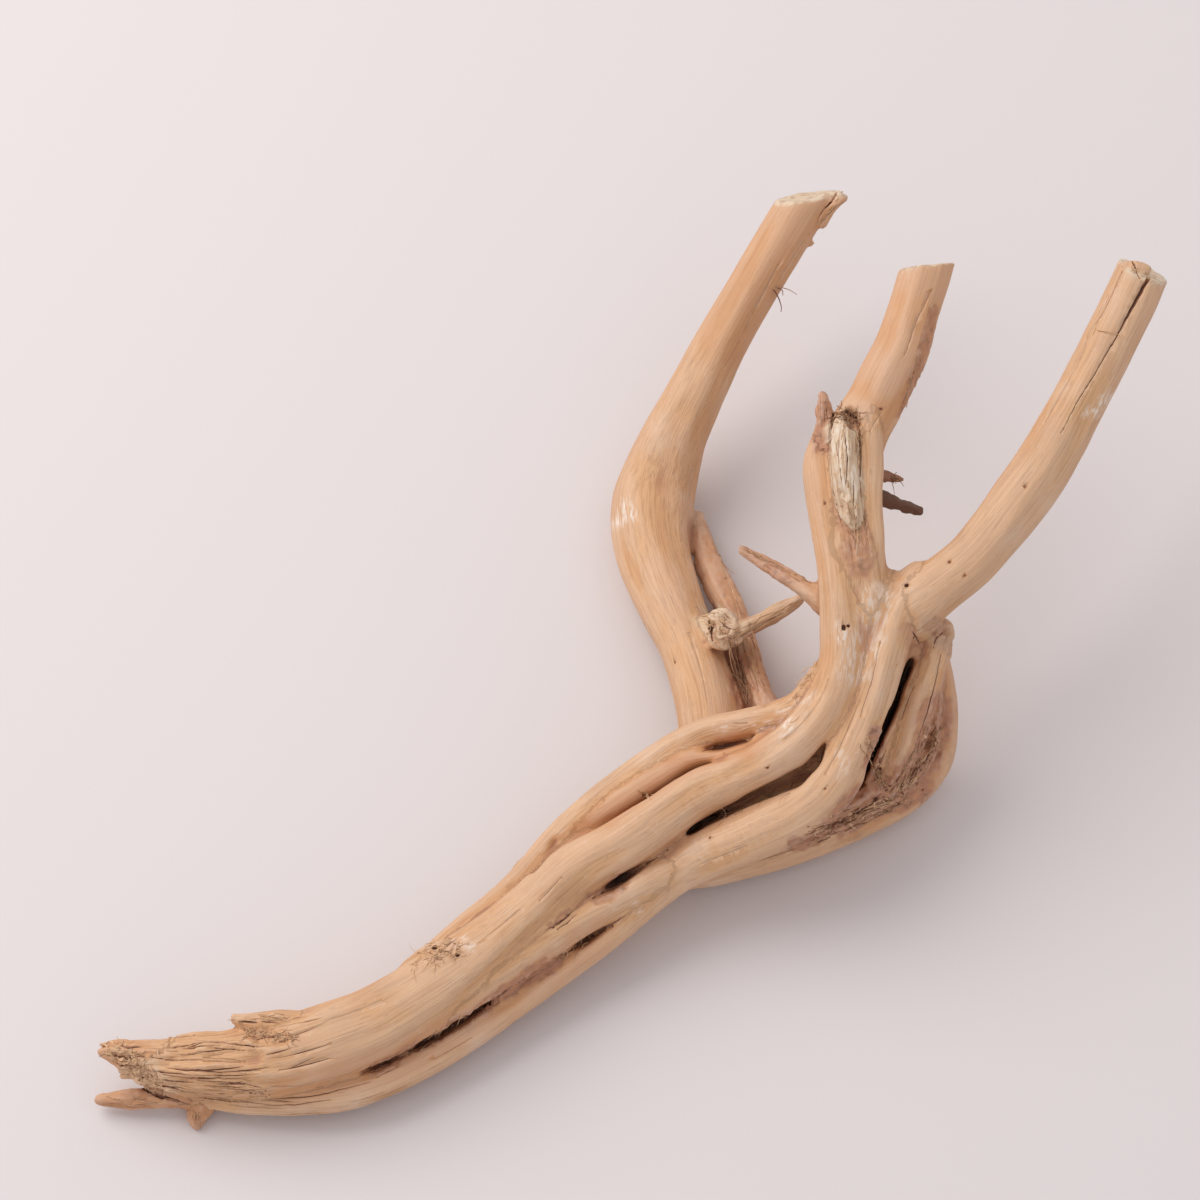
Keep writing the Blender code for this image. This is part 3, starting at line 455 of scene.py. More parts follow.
# Loose fibres, seeded along a stroke: its points (across, up) and half width; how many; their length
# and half width; how far their free ends lift; how they turn from the stroke, in radians; and how dark
# they are, from 0 to 1.
FUZZ = {
    "knot_scar": (((-38, -73.4), (-27, -68)), 2.6, 44, 2.4, 0.08, 0.6, 1.2, 0.1),
    "knot_scar_dark": (((-35, -71), (-28, -69.6)), 1.6, 12, 2.0, 0.08, 0.4, 1.2, 0.6),
    "hollow_near": (((24, -42.8), (38, -37.2)), 1.4, 34, 4.0, 0.06, 1.2, 0.9, 0.45),
    "hollow_far": (((38, -36.6), (43.6, -31)), 1.4, 16, 3.4, 0.06, 1.0, 0.9, 0.8),
    "outer_hollow": (((-8, -72), (-2, -67.6)), 1.0, 18, 2.4, 0.06, 0.5, 0.8, 0.15),
    "long_cleft": (((-44, -93.2), (-22, -80.4)), 0.9, 34, 2.2, 0.05, 0.3, 0.5, 0.2),
    "spur_top": (((47, 37.6), (52, 36)), 1.4, 40, 2.4, 0.1, 0.7, 1.3, 0.65),
    "slab_edge": (((51.6, 35), (52, 27)), 0.8, 18, 3.0, 0.08, 0.3, 0.3, 0.5),
    "slab_face": (((48.4, 34), (49, 22)), 2.0, 20, 2.6, 0.11, 0.12, 0.08, 0.15),
    "slab_foot": (((50, 20), (51.8, 11)), 2.0, 22, 3.0, 0.1, 0.1, 0.2, 0.35),
    "flake_under": (((-71, -86.4), (-61, -87.8)), 1.6, 44, 1.8, 0.11, 0.3, 0.8, 0.35),
    "flake_top": (((-73, -84), (-61, -83.4)), 1.0, 20, 2.4, 0.1, 0.12, 0.25, 0.2),
    "scoop": (((-88, -91), (-70, -90.6)), 2.6, 20, 2.8, 0.09, 0.05, 0.05, 0.2),
    "ribs": (((-88, -97), (-66, -98)), 3.2, 40, 2.2, 0.12, 0.06, 0.05, 0.2),
    "prong_end": (((-99, -89.6), (-92, -92)), 2.2, 54, 1.8, 0.16, 0.25, 0.5, 0.2),
    "prong_face": (((-93, -93), (-88, -97.6)), 1.8, 26, 1.4, 0.15, 0.12, 1.2, 0.25),
    "lower_prong": (((-99, -99.8), (-84, -100)), 1.2, 16, 2.2, 0.1, 0.05, 0.08, 0.35),
    "nub": (((-80.6, -101.6), (-80.8, -105)), 1.2, 16, 1.2, 0.12, 0.1, 0.2, 0.35),
    "small_knot": (((8, -38.8), (10.4, -39.6)), 0.8, 10, 1.2, 0.06, 0.3, 1.2, 0.2),
    "elbow_gap": (((26, -8), (29.4, -20)), 1.2, 44, 4.4, 0.09, 0.4, 0.25, 0.6),
    "blade": (((23, 13), (32.6, -17)), 1.2, 34, 4.0, 0.1, 0.08, 0.08, 0.35),
    "root_edge": (((38.4, -19.6), (43.6, -12.4)), 0.7, 20, 1.6, 0.09, 0.6, 1.0, 0.0),
    "root_scuff": (((26, -25.6), (38.6, -24.6)), 0.8, 10, 2.4, 0.07, 0.12, 0.3, 0.0),
    "stump_foot": (((53.4, -29), (56.4, -37)), 1.4, 26, 1.8, 0.12, 0.2, 0.5, 0.6),
    "bark_low": (((42, -47.4), (60, -39.6)), 1.8, 80, 2.8, 0.13, 0.1, 0.12, 0.6),
    "bark_side": (((60, -38.6), (67.4, -26)), 2.0, 60, 2.6, 0.13, 0.12, 0.16, 0.6),
    "thorn": (((58.4, 24.6), (60, 23.6)), 0.8, 14, 1.4, 0.12, 0.5, 1.2, 0.7),
    "middle_band": (((61, 38.6), (64, 49)), 1.0, 14, 3.0, 0.08, 0.05, 0.1, 0.4),
    "knot": (((22, -4), (27, -7.4)), 2.2, 26, 1.8, 0.12, 0.14, 0.7, 0.25),
    "knot_twig": (((28, -6.8), (39, -0.4)), 0.9, 30, 4.0, 0.1, 0.1, 0.08, 0.3),
    "fork_twig": (((29, 9.8), (42, 3.2)), 0.8, 18, 3.4, 0.09, 0.1, 0.08, 0.35),
    "left_tip": (((43.6, 75.6), (48, 80.4)), 0.7, 8, 2.0, 0.08, 0.1, 0.2, 0.3),
    "right_tip": (((104.6, 66.8), (112.4, 64)), 0.8, 12, 1.2, 0.08, 0.14, 0.9, 0.2),
}

# Single hairs: half width, how dark, and points (across, up, lift).
HAIRS = {
    "left_branch_hair": (0.13, 0.6, ((35.2, 62.6, 0.2), (36.8, 62.4, 0.2), (38, 62, 0), (39.4, 61.1, -0.4))),
    "left_branch_stub": (0.14, 0.8, ((35.6, 62.4, 0.2), (36.5, 62, 0.1), (36.6, 60.9, 0))),
    "left_branch_drop": (0.17, 0.95, (
        (34.8, 62, 0.2), (35.4, 61.1, 0.2), (35.9, 60, 0.1), (36.3, 58.6, 0), (36.2, 57.6, 0),
    )),
    "left_branch_split": (0.08, 0.8, ((36.2, 57.8, 0), (36.8, 56.8, 0), (37.2, 56.1, 0))),
    "left_branch_end": (0.07, 0.8, ((36.2, 57.8, 0), (36.5, 57, 0.1), (36.8, 56, 0.2))),
    "thorn_hair": (0.09, 0.7, ((58.4, 23.6, 0.1), (58.7, 22.4, 0), (58.9, 21.2, 0))),
    "thorn_hair_side": (0.08, 0.7, ((59, 23.4, 0.1), (59.2, 22.4, 0), (58.9, 21.8, 0))),
    "crotch_hair": (0.09, 0.5, ((57.4, 10.8, 0.2), (58.6, 10.2, 0.1), (60, 9.5, 0.2))),
    "flake_hair": (0.07, 0.55, ((-73.4, -85.2, 0.2), (-75, -84.3, 0.1), (-75.3, -83.2, 0))),
    "loose_strip": (0.16, 0.1, ((99.5, 54, 0.2), (101.7, 53.7, 0.5), (103.7, 53.1, 0.3))),
    "hollow_hair_a": (0.09, 0.25, (
        (26.6, -41.2, 0.2), (30, -39.6, 0.6), (34, -38.6, 0.5), (38.4, -36.2, 0.2),
    )),
    "hollow_hair_b": (0.08, 0.2, ((27.4, -42, 0.2), (31, -40.8, 0.4), (34.2, -37.8, 0.6), (36, -35.4, 0.2))),
    "hollow_hair_c": (0.07, 0.4, ((24, -43, 0.2), (25, -42, 0.4), (25.5, -40.6, 0.2))),
    "hollow_hair_d": (0.07, 0.3, ((33, -39.8, 0.2), (35.4, -38, 0.6), (39.6, -37.4, 0.3))),
    "cleft_hair": (0.1, 0.05, ((-28.8, -85.6, 0.2), (-28, -83.6, 0.6), (-27, -81.8, 0.2))),
    "cleft_hair_side": (0.07, 0.3, ((-36, -90.2, 0.2), (-34.6, -88.8, 0.4), (-33, -88.2, 0.2))),
    "gap_hair": (0.1, 0.75, ((25.6, -7.6, 0.2), (27, -13, 0.4), (28.2, -18, 0.3), (28.8, -21, 0.2))),
    "gap_hair_side": (0.1, 0.85, ((26.8, -8.4, 0.2), (27.8, -13.6, 0.4), (29.4, -19.6, 0.2))),
    "root_curl": (0.12, 0.1, (
        (40.4, -14.6, 0.2), (41.4, -13.4, 0.9), (42.8, -13.4, 1.0), (43.4, -12.2, 0.6),
    )),
    "root_curl_low": (0.11, 0.1, ((39.4, -16.8, 0.2), (40.4, -15.4, 0.8), (41.6, -15.4, 0.7))),
}

# Crumbs of bark and rotten wood: the stroke they lie along, its half width, how many, how wide and how
# dark.
CRUMBS = {
    "bark_low": (((42, -47.4), (52, -42.6), (60, -39.6)), 1.6, 80, 0.42, 0.45),
    "bark_side": (((60, -38.6), (66, -31), (67.6, -24)), 1.6, 70, 0.42, 0.5),
    "stump_foot": (((53.4, -27.6), (56.4, -37)), 1.2, 36, 0.42, 0.45),
    "prong_face": (((-93, -93), (-88, -97.6)), 1.8, 100, 0.42, 0.08),
    "prong_end": (((-98, -89.6), (-93, -93)), 2.0, 60, 0.48, 0.2),
    "rib_pits": (((-70, -98.6), (-66.4, -98.8)), 0.8, 14, 0.3, 0.5),
    "flake_under": (((-70.6, -86.6), (-61.6, -87.8)), 1.4, 40, 0.38, 0.35),
    "slab": (((47.4, 36), (51, 35)), 1.2, 12, 0.4, 0.5),
    "slab_foot": (((50, 20), (51.8, 11)), 1.6, 12, 0.35, 0.3),
    "knot": (((22, -3.4), (26, -8.4)), 2.2, 24, 0.4, 0.25),
    "root_edge": (((38.4, -19.6), (43.4, -12.6)), 0.6, 22, 0.24, 0.0),
    "knot_scar": (((-37, -72.6), (-28, -69)), 2.0, 26, 0.32, 0.1),
}

# Where each finish shows, as strokes over the wood: points (across, up) in the picture's plane, the
# half width of the stroke and how strong the finish is there.
STROKES = {
    "bark": (
        (((50, -42.5), (56, -38), (60, -38), (66, -30), (67.5, -22)), 3.2, 1.0),
        (((46, -45.5), (52, -42), (58, -40.5), (64, -38)), 2.6, 1.0),
        (((39, -49), (46, -46.8), (50, -45)), 1.4, 0.9),
        (((55, -27), (54.6, -33), (55.4, -38)), 1.8, 1.0),
        (((25, -4), (27.4, -12), (28.6, -20)), 1.8, 1.0),
        (((21.5, 14), (26.5, 0), (31, -10), (33, -19)), 1.8, 0.55),
        (((49.5, 20), (51, 14), (52, 7)), 3.2, 0.75),
        (((44.6, 31), (44.6, 41)), 2.0, 0.9),
        (((60.5, 37), (62.5, 43), (65, 50), (66.6, 57)), 1.5, 0.8),
        (((67, -5), (69.6, -8.6)), 2.2, 0.75),
        (((61.6, -6), (63, -11.4)), 1.6, 0.5),
        (((-45, -93.5), (-35, -88.6), (-27, -84), (-20, -79), (-8, -71.4)), 1.3, 0.9),
        (((-1.5, -60), (4, -56.5)), 1.2, 0.8),
        (((-10, -65.5), (-5.5, -62.5)), 0.5, 0.8),
        (((34, 7), (38, 4.6)), 1.4, 0.9),
    ),
    "grey": (
        (((47.6, 34), (48.6, 28), (50.4, 21)), 2.6, 1.0),
        (((66.5, -5.5), (69.5, -8)), 2.6, 0.35),
        (((22, -3.6), (27, -7)), 2.8, 0.8),
        (((28, -6), (40, 0.4)), 1.8, 0.45),
        (((-93, -94), (-87, -97)), 2.6, 0.35),
    ),
    "ochre": (
        (((-4, -46), (6, -40), (14, -35), (22, -31.6), (32, -29)), 2.2, 0.9),
        (((68.8, -15), (70.4, -24), (68.5, -32), (62, -40), (50, -46)), 1.8, 0.7),
        (((44.6, 22), (44, 30)), 2.2, 0.35),
        (((-21, -61), (-28, -67)), 2.0, 0.3),
        (((-100, -89), (-92, -91)), 2.6, 0.8),
        (((-72, -86), (-60, -87)), 2.0, 0.4),
        (((57, 43), (62, 56), (68, 75)), 7.0, 0.65),
        (((26, 54), (38, 74), (45, 84)), 7.0, 0.55),
        (((-62, -98), (-40, -92), (-20, -81), (0, -67)), 3.6, 0.6),
    ),
    "scuff_and_highlight": (
        (((3.8, 15), (6.6, 19)), 1.3, 0.9),
        (((24, -26.5), (25, -26.5)), 0.5, 0.9),
        (((30.5, -25.6), (38, -24.6)), 0.6, 1.0),
        (((36, -23), (42, -19.6)), 0.6, 0.6),
        (((47, -5), (47.6, -8)), 0.8, 0.9),
        (((50, -13.2), (50, -14)), 0.4, 0.8),
        (((48.5, -31), (48.6, -34)), 1.4, 0.45),
        # Painted highlight: this broad pale stroke lights up the fork's web.
        (((51, -14), (53.4, -6), (55.6, 0)), 3.2, 0.5),
        (((47.6, 33), (48.6, 27), (50, 22)), 2.2, 0.5),
        (((98, 37.4), (102, 40.6)), 1.1, 0.8),
        (((0, -62), (2, -62.2)), 0.5, 0.7),
        (((6.8, -61), (7.4, -63)), 0.5, 0.6),
        (((-29, -67), (-26, -70), (-27, -73)), 0.7, 0.6),
    ),
}

# Where faint rings cross the grain, as strokes.
RINGED = ((((22, -50.4), (31, -46)), 3.6, 0.7), (((19, -39.6), (25, -36.4)), 3.4, 0.5))

# Small knots and borer holes: (across, up, radius, depth).
PITS = (
    (33.5, -33.6, 0.35, 0.4), (45, -37.8, 0.3, 0.3), (15, -12.5, 0.3, 0.3), (45, 19.3, 0.35, 0.3),
    (56.2, 38.2, 0.45, 0.4), (69.9, 7.6, 0.4, 0.4), (73, 4.9, 0.35, 0.3), (61.3, 2.9, 0.55, 0.8),
    (48.8, -5.5, 0.6, 1.0), (49.7, -5.2, 0.4, 0.8), (-33, -69.5, 0.6, 1.0),
    (-28.5, -71, 0.5, 1.0), (22, -47.5, 0.3, 0.4), (13.5, -50, 0.25, 0.3), (9, -39, 0.6, 0.5),
    (62.8, -7.4, 0.5, 0.7), (22.2, -5.6, 0.6, 0.9), (-89.6, -95.2, 0.4, 0.6), (-90.6, -94, 0.35, 0.5),
    (-88.8, -96.6, 0.35, 0.5), (-91.4, -95.4, 0.3, 0.5), (-69.8, -98.6, 0.4, 0.6), (-67.6, -98.8, 0.4, 0.6),
    (85, 22.6, 0.3, 0.25), (55, -39.8, 0.5, 0.8), (56, -33.8, 0.4, 0.7), (66.5, -29, 0.5, 0.8),
    (64.6, -38, 0.4, 0.6),
)

# Strands whose own wood differs from the rest: how much bark, grey or ochre they show all over, and how
# much painted shade darkens them, up to the dark of a deep cleft.
STRAND_FINISH = {
    # Painted shade: the peg and the thorn under the middle stem, and the web in the elbow's gap, are darkened
    # as if inside a cleft.
    "peg": {"bark": 1.0, "deep": 0.85},
    "thorn": {"bark": 1.0, "deep": 0.6},
    "dead_spur": {"bark": 0.75},
    "fork_twig": {"bark": 0.55, "ochre": 0.4},
    "blade": {"bark": 0.45, "ochre": 0.3},
    "elbow_web": {"bark": 0.9, "deep": 0.42},
    "back_band": {"ochre": 0.8},
    "torn_slab": {"grey": 0.8},
    "knot_twig": {"grey": 0.35, "ochre": 0.2},
    "knot": {"grey": 0.7},
    "bark_fold": {"bark": 0.7},
    "lower_prong": {"ochre": 0.75, "bark": 0.3},
    "nub": {"ochre": 0.85, "bark": 0.3},
}

# How far each strand's grain is weathered into ridges, where 1 is the smooth wood of the stems.
WEATHERING = {
    "torn_slab": 3.2, "knot_twig": 2.2, "fork_twig": 2.0, "knot": 2.4, "blade": 1.8, "flake": 2.4,
    "upper_prong": 3.4, "lower_prong": 2.6, "splinter": 3.0, "nub": 2.4, "dead_spur": 2.4, "scar": 2.0,
}
# The trunk's grain opens towards its torn end, between these two places across the picture.
TORN_FROM, TORN_TO = -50.0, -84.0
TORN_WEATHERING = 3.6
# Past this weathering, or this much bark, the relief needs the skin's spacing halved.
FINE_WEATHERING = 2.1
FINE_BARK = 0.3

# The cells of the patterns that follow the grain, as (across it, along it).
GRAIN_PITCH = 0.45
RIDGE_CELL = (GRAIN_PITCH * 2.4, 22.0)
FURROW_CELL = (2.4, 34.0)
SPLIT_CELL = (1.3, 9.0)
BARK_CELL = (1.5, 6.0)
# The width of the patterns that don't: of lumps, bark grains, rings and sawn wood, of a cleft's width, and
# of how the edges of finishes, scoops and patches wander.
LUMP_PITCHES = (11.0, 4.4)
BARK_GRAIN_PITCH = 0.75
RING_PITCH = 1.9
SAWN_PITCH = 1.6
CLEFT_PITCH = 2.5
EDGE_PITCHES = (2.6, 0.9)
SCOOP_PITCH = 2.4
PATCH_PITCH = 3.0
# How high the relief stands, where no setting says. Splits, bark and rings show in their own places.
SPLIT_HEIGHT = 0.55
LUMP_HEIGHTS = (0.2, 0.07)
RING_HEIGHT = 0.07
BARK_HEIGHTS = (0.7, 0.22)
SAWN_HEIGHT = 0.16
# Every noise has a seed of its own, so that no two line up.
NOISE_SEEDS = {
    "edge": (11, 12), "fine_edge": (13, 14), "scoop_edge": (15, 16), "patches": 21, "ridges": 31,
    "furrows": 32, "lumps": 33, "bark_strips": 34, "bark_grains": 35, "splits": 36, "small_lumps": 37,
    "ring_sway": 38, "sawn": 42, "cleft_width": 51,
}
# Each strand's grain starts this far from the last one's in the patterns.
STRAND_OFFSET = 17.0

# A crack is cut by a wedge, in steps along it, whose rim stands a little above the surface. It wanders a
# little, ends where the surface falls away by more than the jump, and is left out where fewer of its
# steps meet the wood.
FURROW_STEP = 0.8
FURROW_RISE = 0.4
FURROW_WANDER = 0.07
FURROW_JUMP = 2.4
FEWEST_MET = 4
# Rays that look for a strand's surface start this far outside it. What they meet past the reach isn't the
# strand's own.
CAST_FROM = 1.5
CAST_REACH = 2.6

# A cavity, which the wood's material darkens as painted shade, is read against the surface smoothed this
# often, and is whole at this depth.
CAVITY_ROUNDS = 12
CAVITY_DEPTH = 0.35

# How a sliver's width changes from place to place along it, and how many sides it has.
SLIVER_TAPER = np.array((0.6, 1.0, 1.0, 0.85, 0.5))
SLIVER_SIDES = 8
# A fibre keeps the taper's share of its width at its end. Past the bridge, a change in depth is a gap or an
# edge, which it runs straight across.
FIBRE_SIDES = 5
FIBRE_PLACES = 6
FIBRE_TAPER = 0.45
FIBRE_BRIDGE = 6.0
# How far apart the places of a stroke or a hair are.
STROKE_STEP = 0.5
# A crumb is long, narrow and flat beside its size.
CRUMB_SHAPE = np.array((1.9, 0.9, 0.5))


def linear(colour):
    """An sRGB hex colour, such as "d0a382", as linear red, green and blue."""
    parts = (int(colour[at:at + 2], 16) / 255 for at in (0, 2, 4))
    return tuple(part / 12.92 if part <= 0.04045 else ((part + 0.055) / 1.055) ** 2.4 for part in parts)


def colour_property(name, description, colour):
    """A colour that the panel shows, from its sRGB hex value."""
    return FloatVectorProperty(
        name=name, description=description, default=linear(colour), subtype="COLOR", min=0.0, max=1.0,
    )


class DriftwoodSettings(bpy.types.PropertyGroup):
    """The sizes and colours of the wood itself, and the painted shade of its clefts and cracks."""

    bare: colour_property("Bare wood", "Weathered sapwood, washed and dried", "d3a276")
    line: colour_property("Grain line", "The thin darker lines between growth rings", "a97a57")
    warm: colour_property("Ochre wood", "Wood stained by the bark that has just left it", "c98d5f")
    # The bark colour is also the mid tone of the painted shade in creases and shallow cracks.
    bark: colour_property("Bark", "What is left of the inner bark", "b07b60")
    grey: colour_property("Torn wood", "Splintered wood, bleached grey", "d6bd9f")
    # Dry rubbed spots, and also the painted highlight on the fork's web and on ridges.
    scuff_and_highlight: colour_property("Scuff", "Dry rubbed spots", "efe3d8")
    # Painted shade: the near-black brown that clefts and cracks are painted with, deepest inside them. It
    # also darkens flecks and the bark's mottle.
    shade_and_dark_fleck: colour_property("Hollow", "The soot-brown inside of a cleft", "2c1a10")
    straw: colour_property("Fresh fibre", "Fibre that has just come away", "ddb58c")
    umber: colour_property("Old fibre", "Fibre and bark gone dark", "76452e")
    crumb: colour_property("Crumb", "Dusty crumbs of bark and rotten wood", "d8ae8a")
    relief: FloatProperty(
        name="Grain relief", description="Height of the grain's ridges on a smooth stem",
        default=0.07 * MM, min=0.0, max=1.0 * MM, unit="LENGTH",
    )
    roughness: FloatProperty(
        name="Roughness", description="Roughness of the bare wood", default=0.56, min=0.0, max=1.0,
    )


class StageSettings(bpy.types.PropertyGroup):
    """The floor and the studio light."""

    floor: colour_property("Floor", "Plain pale floor", "dcd3d2")
    key_power: FloatProperty(
        name="Key light", description="Power of the large soft light", default=7.2, min=0.0, unit="POWER",
    )
    sky: FloatProperty(
        name="Surrounding light", description="Strength of the even light all round", default=0.73, min=0.0,
    )


def unit(vectors):
    """Vectors at length 1."""
    return vectors / np.linalg.norm(vectors, axis=-1, keepdims=True)


def smooth_step(low, high, values):
    """0 below low, 1 above high, and an eased rise between them. Where low is above high, it falls."""
    share = np.clip((values - low) / (high - low), 0.0, 1.0)
    return share * share * (3.0 - 2.0 * share)


def sight_frame():
    """The directions from the wood towards the eye and up the picture."""
    toward = np.array((0, -math.cos(VIEW_ELEVATION), math.sin(VIEW_ELEVATION)))
    upward = np.array((0, math.sin(VIEW_ELEVATION), math.cos(VIEW_ELEVATION)))
    return toward, upward


TOWARD, UPWARD = sight_frame()
EYE = PICTURE_CENTRE + TOWARD * VIEW_DISTANCE


def from_picture(points):
    """Rows of (across, up, height, half width) as places and true radii."""
    points = np.asarray(points, float)
    ray = PICTURE_CENTRE - EYE + np.outer(points[:, 0], (1, 0, 0)) + np.outer(points[:, 1], UPWARD)
    reach = (points[:, 2] - EYE[2]) / ray[:, 2]
    return EYE + ray * reach[:, None], points[:, 3] * reach


def sight(across, up):
    """The direction in which the eye sees a point of the picture's plane."""
    return unit(PICTURE_CENTRE - EYE + across * np.array((1.0, 0.0, 0.0)) + up * UPWARD)


def to_picture(places):
    """Places as (across, up) in the picture's plane."""
    ray = places - EYE
    ray = ray * (-VIEW_DISTANCE / (ray @ TOWARD))[:, None]
    return np.stack([ray[:, 0] + EYE[0] - PICTURE_CENTRE[0], ray @ UPWARD], axis=1)


def smooth_line(points):
    """Places and radii at short steps along a smooth curve through the points."""
    places, radii = from_picture(points)
    knots = np.column_stack([places, radii])
    before = np.append(2 * knots[:1, :3] - knots[1:2, :3], knots[:1, 3:], axis=1)
    after = np.append(2 * knots[-1:, :3] - knots[-2:-1, :3], knots[-1:, 3:], axis=1)
    knots = np.concatenate([before, knots, after])
    line = []
    for a, b, c, d in zip(knots, knots[1:], knots[2:], knots[3:]):
        steps = max(1, round(float(np.linalg.norm(c[:3] - b[:3])) / STRAND_STEP))
        share = (np.arange(steps) / steps)[:, None]
        line.append(0.5 * (
            2 * b
            + (c - a) * share
            + (2 * a - 5 * b + 4 * c - d) * share ** 2
            + (3 * b - a - 3 * c + d) * share ** 3
        ))
    line = np.concatenate([*line, knots[-2:-1]])
    return line[:, :3], line[:, 3]


LINES = {name: smooth_line(points) for name, points in STRANDS.items()}


def carried_frames(places, side):
    """The line's direction and two directions across it at each place, carried along without twisting."""
    ahead = np.diff(places, axis=0)
    ahead = unit(np.concatenate([ahead[:1], ahead[:-1] + ahead[1:], ahead[-1:]]))
    sides = np.zeros_like(ahead)
    for index, direction in enumerate(ahead):
        side = side - direction * (side @ direction)
        side = side / np.linalg.norm(side)
        sides[index] = side
    return ahead, sides, np.cross(ahead, sides)


def rounded_ends(places, radii):
    """The line with a dome's rings added past both of its ends."""
    angles = np.radians(np.array(DOME_RINGS) * 90)
    back = unit(places[0] - places[1]) * radii[0]
    ahead = unit(places[-1] - places[-2]) * radii[-1]
    start = places[0] + np.outer(np.sin(angles[::-1]), back)
    end = places[-1] + np.outer(np.sin(angles), ahead)
    widths = np.concatenate([radii[0] * np.cos(angles[::-1]), radii, radii[-1] * np.cos(angles)])
    return np.concatenate([start, places, end]), widths


def add_rings(mesh, rings):
    """Closed skin over a list of rings of places in millimetres, flat at both ends. Returns its corners."""
    loops = [[mesh.verts.new(Vector(place) * MM) for place in ring] for ring in rings]
    for near, far in zip(loops, loops[1:]):
        for index, corner in enumerate(near):
            following = (index + 1) % len(near)
            mesh.faces.new((corner, near[following], far[following], far[index]))
    mesh.faces.new(reversed(loops[0]))
    mesh.faces.new(loops[-1])
    return [corner for ring in loops for corner in ring]


def add_strand(mesh, points, turn):
    """A fluted tube. Its first flute starts `turn` round it, so that no two strands are alike."""
    places, radii = rounded_ends(*smooth_line(points))
    _, sides, overs = carried_frames(places, UP)
    angle = math.tau * np.arange(RING_SIDES) / RING_SIDES
    rings = []
    for index, (place, radius, side, over) in enumerate(zip(places, radii, sides, overs)):
        swell = sum(
            depth * np.sin(count * (angle + turn) + index * FLUTE_TURN * count) for count, depth in FLUTES
        )
        outward = np.outer(np.cos(angle), side) + np.outer(np.sin(angle), over)
        rings.append(place + outward * (radius * (1 + swell))[:, None])
    add_rings(mesh, rings)


def walk_strand(name, start, length, angle, lean, count):
    """Places down the middle of a strand, its outward direction there, and its radius."""
    places, radii = LINES[name]
    _, sides, overs = carried_frames(places, UP)
    last = len(places) - 1
    at = np.clip(start * last + np.linspace(0, length / STRAND_STEP, count), 0, last)
    angles = angle + np.linspace(0, lean, count)
    low = np.minimum(np.floor(at).astype(int), last - 1)
    share = (at - low)[:, None]
    centre = places[low] * (1 - share) + places[low + 1] * share
    radius = radii[low] * (1 - share[:, 0]) + radii[low + 1] * share[:, 0]
    outward = sides[low] * np.cos(angles)[:, None] + overs[low] * np.sin(angles)[:, None]
    return centre, outward, radius


def shortest_step(line):
    """The least distance between neighbouring places of a line."""
    return np.linalg.norm(np.diff(line, axis=0), axis=1).min()


def add_sliver(mesh, name, span, length, half_width, lift, chance):
    """A slim split of wood that lies along a strand and lifts towards one end."""
    count = len(SLIVER_TAPER)
    centre, outward, radius = walk_strand(
        name, chance.uniform(*span), length * chance.uniform(0.5, 1.2), chance.uniform(0, math.tau),
        chance.uniform(-0.15, 0.15), count,
    )
    sunk = half_width * 0.35
    rise = np.linspace(-0.35, 1.0, count) ** 2 * lift - sunk
    if chance.random() < 0.5:
        rise = rise[::-1]
    line = centre + outward * (radius + rise)[:, None]
    if shortest_step(line) > 0.05:
        add_tube(mesh, line, half_width * chance.uniform(0.6, 1.3) * SLIVER_TAPER, SLIVER_SIDES)


def add_tube(mesh, places, radii, sides):
    """A plain tube through the places. Returns its corners."""
    nearly_up = np.array((0.3, 0.2, 1.0))
    _, across, over = carried_frames(places, nearly_up)
    angle = math.tau * np.arange(sides) / sides
    return add_rings(mesh, [
        place + radius * (np.outer(np.cos(angle), side) + np.outer(np.sin(angle), top))
        for place, radius, side, top in zip(places, radii, across, over)
    ])


def add_cleft(mesh, half_depth, points):
    """A tube of uneven width whose section is a thin ellipse, deep along the line of sight."""
    places, widths = smooth_line(points)
    widths = widths * (1.0 + 0.4 * noise("cleft_width", places / CLEFT_PITCH))
    _, deeps, wides = carried_frames(places, TOWARD)
    angle = math.tau * np.arange(RING_SIDES) / RING_SIDES
    depths = half_depth * np.minimum(1.0, 0.4 + 0.6 * widths / widths.max())
    add_rings(mesh, [
        place + np.outer(np.cos(angle), deep * depth) + np.outer(np.sin(angle), wide * width)
        for place, deep, wide, depth, width in zip(places, deeps, wides, depths, widths)
    ])


def add_saw_cut(mesh, point, facing):
    """A block that stands on the cut and reaches out past the stem's tip."""
    places, _ = from_picture([point])
    facing = Vector(facing).normalized()
    turned = Vector(UP).rotation_difference(facing).to_matrix().to_4x4()
    turned.translation = Vector(places[0]) * MM + facing * SAW_DEPTH * MM / 2
    bmesh.ops.create_cube(mesh, size=SAW_DEPTH * MM, matrix=turned)


def object_from(name, fill, collection=None):
    """A mesh object whose shape the function `fill` adds to an empty bmesh."""
    mesh = bmesh.new()
    fill(mesh)
    bmesh.ops.triangulate(mesh, faces=[face for face in mesh.faces if len(face.verts) > 4])
    bmesh.ops.recalc_face_normals(mesh, faces=mesh.faces)
    data = bpy.data.meshes.new(name)
    mesh.to_mesh(data)
    mesh.free()
    made = bpy.data.objects.new(name, data)
    (collection or bpy.context.collection).objects.link(made)
    return made


def apply_modifiers(target):
    """Bakes the object's modifiers into its mesh."""
    graph = bpy.context.evaluated_depsgraph_get()
    data = bpy.data.meshes.new_from_object(target.evaluated_get(graph))
    target.modifiers.clear()
    target.data = data


